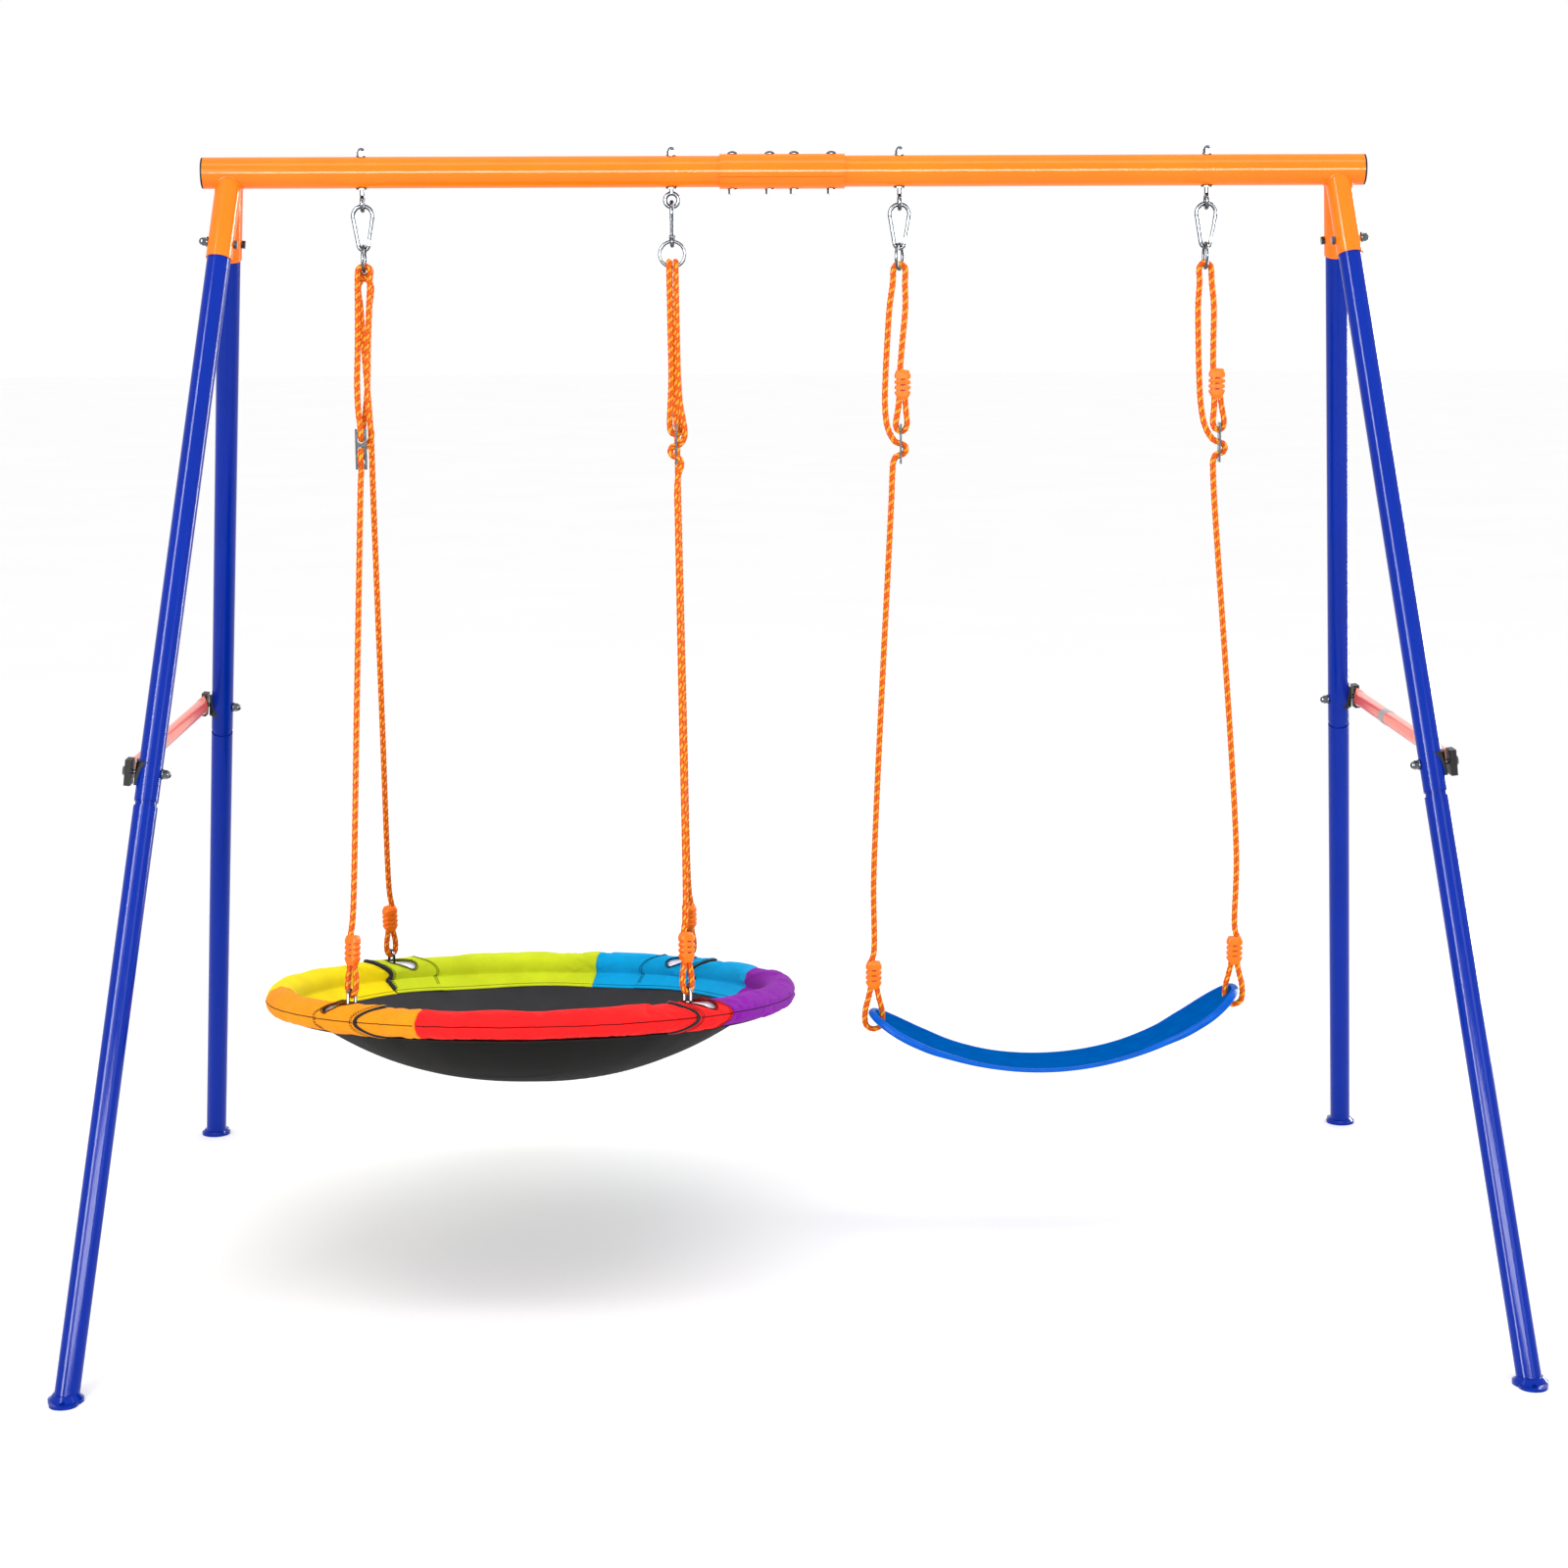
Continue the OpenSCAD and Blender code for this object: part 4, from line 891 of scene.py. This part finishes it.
SEAM_ROW = 12  # the outer seam, at profile angle 0


def bowl_z(r):
    return -BOWL_DEPTH + (BOWL_DEPTH + BOWL_RIM_Z) * (r / BOWL_RIM_R) ** 2.4


def pad_radius(angle, psi):
    """Radius of the stuffed sleeve: a ridge along the outer seam and a slow waver over the top."""
    a = np.radians(angle)
    waver = .0010 * np.sin(5 * a + 1.1) + .0009 * np.sin(11 * a + .4) + .0006 * np.sin(23 * a + 2.)
    return PAD_R + .0058 * bell(abs(psi), 27, 1.3) + bell(turned(psi - 75), 65) * waver * (.85 + .5 * np.sin(a))


def rim_columns():
    """Angles of the sleeve's columns, with one on every seam and gap."""
    return np.concatenate([np.linspace(low, high, round((high - low) / .82), endpoint=False)
                           for low, high in zip(KEYS, KEYS[1:])])


def cover_grid():
    """Angles of the grid's columns, and its points: columns round the rim, rows round the pad and the flange."""
    columns = rim_columns()
    psi = np.concatenate([PSI, np.full(FLANGE_ROWS, PSI[-1])])
    angle = np.repeat(columns[:, None], len(psi), 1)
    for gap, way, flap, _ in GAPS:
        away = turned(columns - gap) * way
        beyond = np.maximum(0, np.maximum(away - 1, -away - flap))
        angle = angle + (way * BOW * smooth(1 - beyond / BOW_FADE))[:, None] * np.sin(np.radians(psi)) ** 2
    rho = pad_radius(angle, psi[None])
    r = RIM_R + rho * np.cos(np.radians(psi))
    z = rho * np.sin(np.radians(psi))
    rows = len(PSI)
    share = (np.arange(FLANGE_ROWS) + 1) / FLANGE_ROWS
    edge = FLANGE_R + .0015 * np.sin(np.radians(columns) * 9)[:, None]
    r[:, rows:] = r[:, rows - 1:rows] + (edge - r[:, rows - 1:rows]) * share
    z[:, rows:] = bowl_z(r[:, rows:]) + FLANGE_LIFT
    a = np.radians(angle)
    return columns, from_rim(np.stack([r * np.cos(a), r * np.sin(a), z], -1))


SWELL_STEPS, SWELL_MOST = 20, .005  # steps of the cloth, and the furthest it moves a point
SWELL = dict(quality=5, mass=.25, tension_stiffness=12, compression_stiffness=12, bending_stiffness=.35,
             use_pressure=True, uniform_pressure_force=5., shrink_min=-.022, vertex_group_mass="held")


def swell(points):
    """Blender's cloth blows the sleeve out between its seams, hems and ridge, which stay put."""
    count, rows = points.shape[:2]
    faces = [face[::-1] for face in grid_faces(count, rows, False, True)]
    cover = piece("swelling", points.reshape(-1, 3), faces, MATERIALS["seat"])
    held = cover.vertex_groups.new(name="held")
    seam = np.isin(rim_columns(), KEYS)
    for k in range(count):
        for j in range(rows):
            tight = j < 2 or j >= len(PSI) - 1 or j == SEAM_ROW
            weight = 1. if tight else .85 if seam[k] else 0.
            if weight:
                held.add([k * rows + j], weight, "REPLACE")
    cloth = cover.modifiers.new("cloth", "CLOTH")
    for setting, value in SWELL.items():
        setattr(cloth.settings, setting, value)
    cloth.settings.effector_weights.gravity = 0
    cloth.collision_settings.use_collision = False
    cloth.point_cache.frame_start, cloth.point_cache.frame_end = 1, SWELL_STEPS
    scene = bpy.context.scene
    for step in range(1, SWELL_STEPS + 1):
        scene.frame_set(step)
    swollen = cover.evaluated_get(bpy.context.evaluated_depsgraph_get())
    moved = np.zeros(count * rows * 3, np.float32)
    swollen.data.vertices.foreach_get("co", moved)
    scene.frame_set(1)
    bpy.data.objects.remove(cover, do_unlink=True)
    step = moved.reshape(points.shape).astype(float) - points
    length = norm(step, axis=2, keepdims=True)
    return on_foam(points + step * np.minimum(1, SWELL_MOST / np.maximum(length, 1e-9)))


def on_foam(points):
    """The cloth rests on the foam wherever it would sink below it."""
    x, y, z = to_rim(points[:, :len(PSI)])
    angle, across = np.arctan2(y, x), np.hypot(x, y) - RIM_R
    psi, rho = np.arctan2(z, across), np.hypot(across, z)
    rho = np.where(rho < LEAST_R, LEAST_R + (rho - LEAST_R) * .12, rho)
    r = RIM_R + rho * np.cos(psi)
    held = from_rim(np.stack([r * np.cos(angle), r * np.sin(angle), rho * np.sin(psi)], -1))
    return np.concatenate([held, points[:, len(PSI):]], 1)


def doubled(points, axis, closed):
    """Twice as many points along an axis, on a smooth curve through the old ones."""
    p = np.moveaxis(points, axis, 0)
    if closed:
        before, after, beyond = np.roll(p, 1, 0), np.roll(p, -1, 0), np.roll(p, -2, 0)
        here = p
    else:
        wide = np.concatenate([2 * p[:1] - p[1:2], p, 2 * p[-1:] - p[-2:-1]])
        before, here, after, beyond = wide[:-3], wide[1:-2], wide[2:-1], wide[3:]
    middle = (9 * (here + after) - before - beyond) / 16
    out = np.stack([here, middle], 1).reshape(-1, *p.shape[1:])
    if not closed:
        out = np.concatenate([out, p[-1:]])
    return np.moveaxis(out, 0, axis)


def outward(points, closed):
    """The outward normal at each point of a grid."""
    ahead, behind = np.roll(points, -1, 0), np.roll(points, 1, 0)
    if not closed:
        ahead[-1], behind[0] = points[-1], points[0]
    n = np.cross(ahead - behind, np.gradient(points, axis=1))
    return n / np.maximum(norm(n, axis=2, keepdims=True), 1e-12)


def local_place(points):
    """Rim angle and profile angle of points, in degrees."""
    x, y, z = to_rim(points)
    return np.degrees(np.arctan2(y, x)), np.degrees(np.arctan2(z, np.hypot(x, y) - RIM_R))


def slot_distance(points, window):
    """Distance in metres outside a window's rounded outline, and the surface directions it is measured in."""
    angle, psi = local_place(points)
    (a0, psi0), (a1, psi1) = window
    x, y = np.radians(turned(angle - a0)) * RIM_R, np.radians(turned(psi - psi0)) * PAD_R
    along = arr((radians(a1 - a0) * RIM_R, radians(psi1 - psi0) * PAD_R))
    share = np.clip((x * along[0] + y * along[1]) / (along @ along), 0, 1)
    x, y = x - share * along[0], y - share * along[1]
    reach = np.hypot(x, y)
    return reach - WINDOW_R, x / np.maximum(reach, 1e-9), y / np.maximum(reach, 1e-9)


def capsules(places, directions, length, radius):
    """Small stitches: six-sided, pointed at both ends."""
    d = unit(directions)
    u = unit(np.cross(d, (.31, .22, .93)))
    v = np.cross(d, u)
    around = np.arange(6) * np.pi / 3
    ring = np.cos(around)[None, :, None] * u[:, None] + np.sin(around)[None, :, None] * v[:, None]
    half = (d * length / 2)[:, None]
    middle = arr(places)[:, None]
    low, high = middle - half * .62 + ring * radius, middle + half * .62 + ring * radius
    skin = np.concatenate([middle - half, low, high, middle + half], 1)
    faces = [(0, 1 + (k + 1) % 6, 1 + k) for k in range(6)]
    faces += [(1 + k, 1 + (k + 1) % 6, 7 + (k + 1) % 6, 7 + k) for k in range(6)]
    faces += [(13, 7 + k, 7 + (k + 1) % 6) for k in range(6)]
    return skin.reshape(-1, 3), [tuple(k + 14 * n for k in face) for n in range(len(middle)) for face in faces]


def stitched(line, pitch=.0044, length=.0039, radius=.00075):
    """Stitches along a line of points."""
    path = even(arr(line), pitch / 2)
    spots, ahead = path[1:-1:2], (path[2:] - path[:-2])[::2]
    count = min(len(spots), len(ahead))
    return capsules(spots[:count], ahead[:count], length, radius)


def sample(points, i, j):
    """A point of a grid at fractional positions."""
    i = np.clip(i, 0, points.shape[0] - 1.001)
    j = np.clip(j, 0, points.shape[1] - 1.001)
    a, b = np.floor(i).astype(int), np.floor(j).astype(int)
    s, t = (i - a)[..., None], (j - b)[..., None]
    return ((points[a, b] * (1 - s) + points[a + 1, b] * s) * (1 - t)
            + (points[a, b + 1] * (1 - s) + points[a + 1, b + 1] * s) * t)


def cover_part(base, normal, columns, low, high):
    """One run of the sleeve between two angles, with its bands, tucked end and seams raised or pressed in."""
    wide = np.append(columns, columns[0] + 360)
    pick = np.arange(np.argmin(abs(wide - low)), np.argmin(abs(wide - high)) + 1)
    points, n, angle = base[pick % len(columns)], normal[pick % len(columns)], wide[pick]
    across = np.arange(points.shape[1])
    height = np.zeros(points.shape[:2]) - .0015 * bell(across - 2 * SEAM_ROW, .8)
    for gap, way, flap, _ in GAPS:
        away = turned(angle - gap) * way
        if (away < .01).all():
            height += (.0022 * smooth((away + flap) / .4))[:, None]
            height += .0010 * (bell(away + .2, .9) + .9 * bell(away + flap - .35, .8))[:, None]
        elif abs(away).min() < .01:
            depth = np.clip(away, 0, None) * DEGREE
            tuck = 1 - np.sqrt(1 - np.clip(1 - depth / .009, 0, 1) ** 2)
            height -= (.0042 * tuck + .0006)[:, None]
    for key in (low, high):
        if all(abs(turned(key - gap[0])) > .01 for gap in GAPS):
            away = (turned(angle - key) * DEGREE)[:, None]
            height -= .0011 * bell(away, .0024)
            height += .0006 * np.sin(across * .9 + key) * bell(away, .016)
    fade = np.clip((len(across) - 1 - across) / 8, 0, 1)
    return points + n * (height * (.3 + .7 * fade))[..., None], angle


def cover_skin(points, angle):
    """Vertices, faces and UVs of one run, with its windows cut out; also each window's edge."""
    count, rows = points.shape[:2]
    keep = np.ones((count - 1, rows - 1), bool)
    edges = []
    tangent, cross = unit(np.gradient(points, axis=0)), unit(np.gradient(points, axis=1))
    for window in WINDOWS:
        middle, level = np.mean(window, 0)
        if abs(turned(angle - middle)).min() > 1:
            continue
        out, x, y = slot_distance(points, window)
        near = abs(out) < .00155
        snapped = points - (tangent * (x * out)[..., None] + cross * (y * out)[..., None])
        points = np.where(near[..., None], snapped, points)
        inner = (out < 0) & ~near
        gone = inner[:-1, :-1] | inner[1:, :-1] | inner[:-1, 1:] | inner[1:, 1:]
        edge = near & np.any([np.pad(gone, (a, b)) for a in ((1, 0), (0, 1)) for b in ((1, 0), (0, 1))], 0)
        keep &= ~gone
        around, profile = local_place(points[edge])
        turn = np.arctan2(turned(profile - level) * PAD_R, turned(around - middle) * RIM_R * .45)
        edges.append(points[edge][np.argsort(turn)])
    v = np.append(0, np.cumsum(norm(np.diff(points, axis=1), axis=2).mean(0)))
    u = angle * DEGREE
    faces, uv = [], []
    for i, j in zip(*np.nonzero(keep)):
        a = i * rows + j
        faces.append((a, a + rows, a + rows + 1, a + 1))
        uv += [(u[i], v[j]), (u[i + 1], v[j]), (u[i + 1], v[j + 1]), (u[i], v[j + 1])]
    return points.reshape(-1, 3), faces, uv, edges


def drop_loose(thing):
    """Removes the points that no face uses."""
    shape = bmesh.new()
    shape.from_mesh(thing.data)
    bmesh.ops.delete(shape, geom=[v for v in shape.verts if not v.link_faces], context="VERTS")
    shape.to_mesh(thing.data)
    shape.free()


THREAD_LIFT = .0002


def window_threads(edge, skin, lift):
    """The cord round a window and the stitches beside it."""
    ring = even(closed_line(edge), .0016)[:-1]
    for _ in range(3):
        ring = (np.roll(ring, 1, 0) + 2 * ring + np.roll(ring, -1, 0)) / 4
    wider = ring + unit(ring - ring.mean(0)) * .0034
    near = [lift[np.argmin(((skin - w) ** 2).sum(1))] * .4 + w * .6 for w in wider]
    return [tube(ring, .0011, 8, True), stitched(closed_line(near))]


def band_threads(away, flap, step, lift):
    """Two rows of stitches along each edge of the band beside a gap."""
    at_gap, other = np.argmin(abs(away)), np.argmin(abs(away + flap))
    inward = 1 if other > at_gap else -1
    j = np.linspace(2, lift.shape[1] - 5, 240)
    return [stitched(sample(lift, np.full(len(j), start + sign * inset / step), j))
            for start, sign in ((at_gap, inward), (other, -inward)) for inset in (.0042, .0078)]


def covers():
    """Six padded covers over one swollen sleeve, their piping, hems and stitches."""
    columns, base = cover_grid()
    base = swell(base)
    base = doubled(doubled(base, 0, True), 1, False)
    fine = np.stack([columns, columns + np.diff(np.append(columns, KEYS[-1])) / 2], 1).ravel()
    normal = outward(base, True)
    raised = base + normal * THREAD_LIFT
    piping = []
    for colour, runs in SECTIONS.items():
        skins, all_uv, threads = [], [], []
        for low, high in runs:
            points, angle = cover_part(base, normal, fine, low, high)
            lift = points + outward(points, False) * THREAD_LIFT
            skin, faces, uv, edges = cover_skin(points, angle)
            skins.append((skin, faces))
            all_uv += uv
            for edge in edges:
                threads += window_threads(edge, points.reshape(-1, 3), lift.reshape(-1, 3))
            for gap, way, flap, piping_r in GAPS:
                away = turned(angle - gap) * way
                if (away < .01).all() and abs(away).min() < .01:
                    threads += band_threads(away, flap, np.diff(angle).mean() * DEGREE, lift)
                    line = raised[np.argmin(abs(turned(fine - gap)))]
                    piping.append(tube(even(line[1:-3], .0025), piping_r, 12))
            threads.append(tube(even(lift[1:-1, 2 * SEAM_ROW], .003), .0008, 6))
            i = np.linspace(0, len(angle) - 1.01, 400)
            threads.append(stitched(sample(lift, i, np.full(400, lift.shape[1] - 3.2)), .0050, .0034))
        made = piece("cover_" + colour + "_padded", *joined(skins), MATERIALS["cover_" + colour], "saucer_swing",
                     "cover_" + colour, all_uv)
        drop_loose(made)
        thick = made.modifiers.new("cloth_thickness", "SOLIDIFY")
        thick.thickness, thick.offset = .0016, -1
        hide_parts("saucer_cover_" + colour)
        piece("cover_" + colour + "_stitching", *joined(threads), MATERIALS["thread_" + colour], "saucer_swing",
              "cover_" + colour)
    piece("cover_piping", *joined(piping), MATERIALS["piping"], "saucer_swing", "black_plastic")


COLLAR_R, COLLAR_BEVEL = .0206, .0016
COLLAR_REACH, FOAM_GAP = 4.7, 4.8  # degrees from a window's middle to the collar's end, and to the foam's


def rim_foam():
    """Foam sleeve under the covers, cut away at the windows."""
    parts = []
    middles = sorted(np.mean(window, 0)[0] for window in WINDOWS)
    for low, high in zip(middles, middles[1:] + [middles[0] + 360]):
        angles = np.linspace(low + FOAM_GAP, high - FOAM_GAP, int((high - low) / 1.5))
        radius = .0195 + .0003 * np.sin(np.arange(len(angles)) * 1.7)
        parts.append(tube(arr([rim_point(a) for a in angles]), radius, 24))
    made = piece("rim_foam_sleeves", *joined(parts), MATERIALS["foam"], "saucer_swing", "rim_foam")
    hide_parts("saucer_rim_foam")


def rim_collars():
    """Bright steel collars on the rim tube, seen through the windows."""
    parts = []
    for window in WINDOWS:
        middle = np.mean(window, 0)[0]
        path = arr([rim_point(a) for a in np.linspace(middle - COLLAR_REACH, middle + COLLAR_REACH, 24)])
        radius = COLLAR_R - COLLAR_BEVEL * (1 - np.sqrt(1 - np.clip(1 - np.arange(24) / 2.5, 0, 1) ** 2))
        parts.append(tube(path, np.minimum(radius, radius[::-1]), 40))
    piece("rim_tube_collars", *joined(parts), MATERIALS["tube"], "saucer_swing", "rim_tube_steel")


# ---- saucer: hanging fabric ----

CREASES = ((.12, -.10, 24, .0016), (-.16, .06, -38, .0012),  # x, y, direction in degrees, depth
           (.05, .15, 80, .0010), (-.05, -.20, -12, .0012))
CREASE_W, CREASE_L = .007, .13


def creased(x, y):
    """How far the creases press the fabric down."""
    deep = 0
    for at_x, at_y, direction, depth in CREASES:
        c, s = cos(radians(direction)), sin(radians(direction))
        across, along = (x - at_x) * s - (y - at_y) * c, (x - at_x) * c + (y - at_y) * s
        deep = deep + depth * bell(across, CREASE_W) * bell(along, CREASE_L)
    return deep


def seat_fabric():
    """One stretched sheet: a bowl that runs under the pad and is sewn to its underside."""
    radii = np.concatenate([np.linspace(0, SHEET_BEND_R, 62), np.linspace(SHEET_BEND_R, SHEET_EDGE_R, 12)[1:]])
    around = 216
    theta = np.linspace(0, 2 * np.pi, around, endpoint=False)
    bend_z = bowl_z(SHEET_BEND_R)
    rings = [[(0, 0, bowl_z(0))]]
    for r in radii[1:]:
        share = max(0, (r - SHEET_BEND_R) / (SHEET_EDGE_R - SHEET_BEND_R))
        z = bowl_z(r) if share == 0 else bend_z + (SHEET_EDGE_Z - bend_z) * (share + .25 * share * (1 - share))
        x, y = r * np.cos(theta), r * np.sin(theta)
        pull = .0010 * (r / SHEET_EDGE_R) ** 4 * (np.sin(17 * theta + .6) + .6 * np.sin(29 * theta))
        loose = smooth((SHEET_EDGE_R - r) / .03)
        rings.append(np.stack([x, y, z + (pull - creased(x, y)) * loose], 1))
    skin = from_rim(np.vstack(rings))
    faces = [(0, 1 + j, 1 + (j + 1) % around) for j in range(around)]
    faces += [f[::-1] for f in grid_faces(len(rings) - 1, around, True, start=1)]
    flat = (skin - arr(RIM_CENTRE))[:, :2]
    made = piece("seat_fabric_bowl", skin, faces, MATERIALS["seat"], "saucer_swing", "seat_fabric",
                 [flat[k] for f in faces for k in f])
    made.data.materials.append(MATERIALS["seat_under_painted_shade"])
    thick = made.modifiers.new("cloth_thickness", "SOLIDIFY")
    # the added underside shell takes the darker copy of the fabric: painted shade
    thick.thickness, thick.offset, thick.material_offset = .0014, -1, 1
    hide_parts("saucer_seat_fabric")


make_camera()
for hanging in ROPES:
    rope(*hanging)
make_stage()
for light in LIGHTS:
    area_light(*light)
dress_nodes()
for brace_side, brace_name in ((-1, "left_brace"), (1, "right_brace")):
    brace(brace_side, brace_name)
    weld_beads(brace_side)
make_clamps()
belt_seat()
rim_foam()
rim_collars()
covers()
seat_fabric()
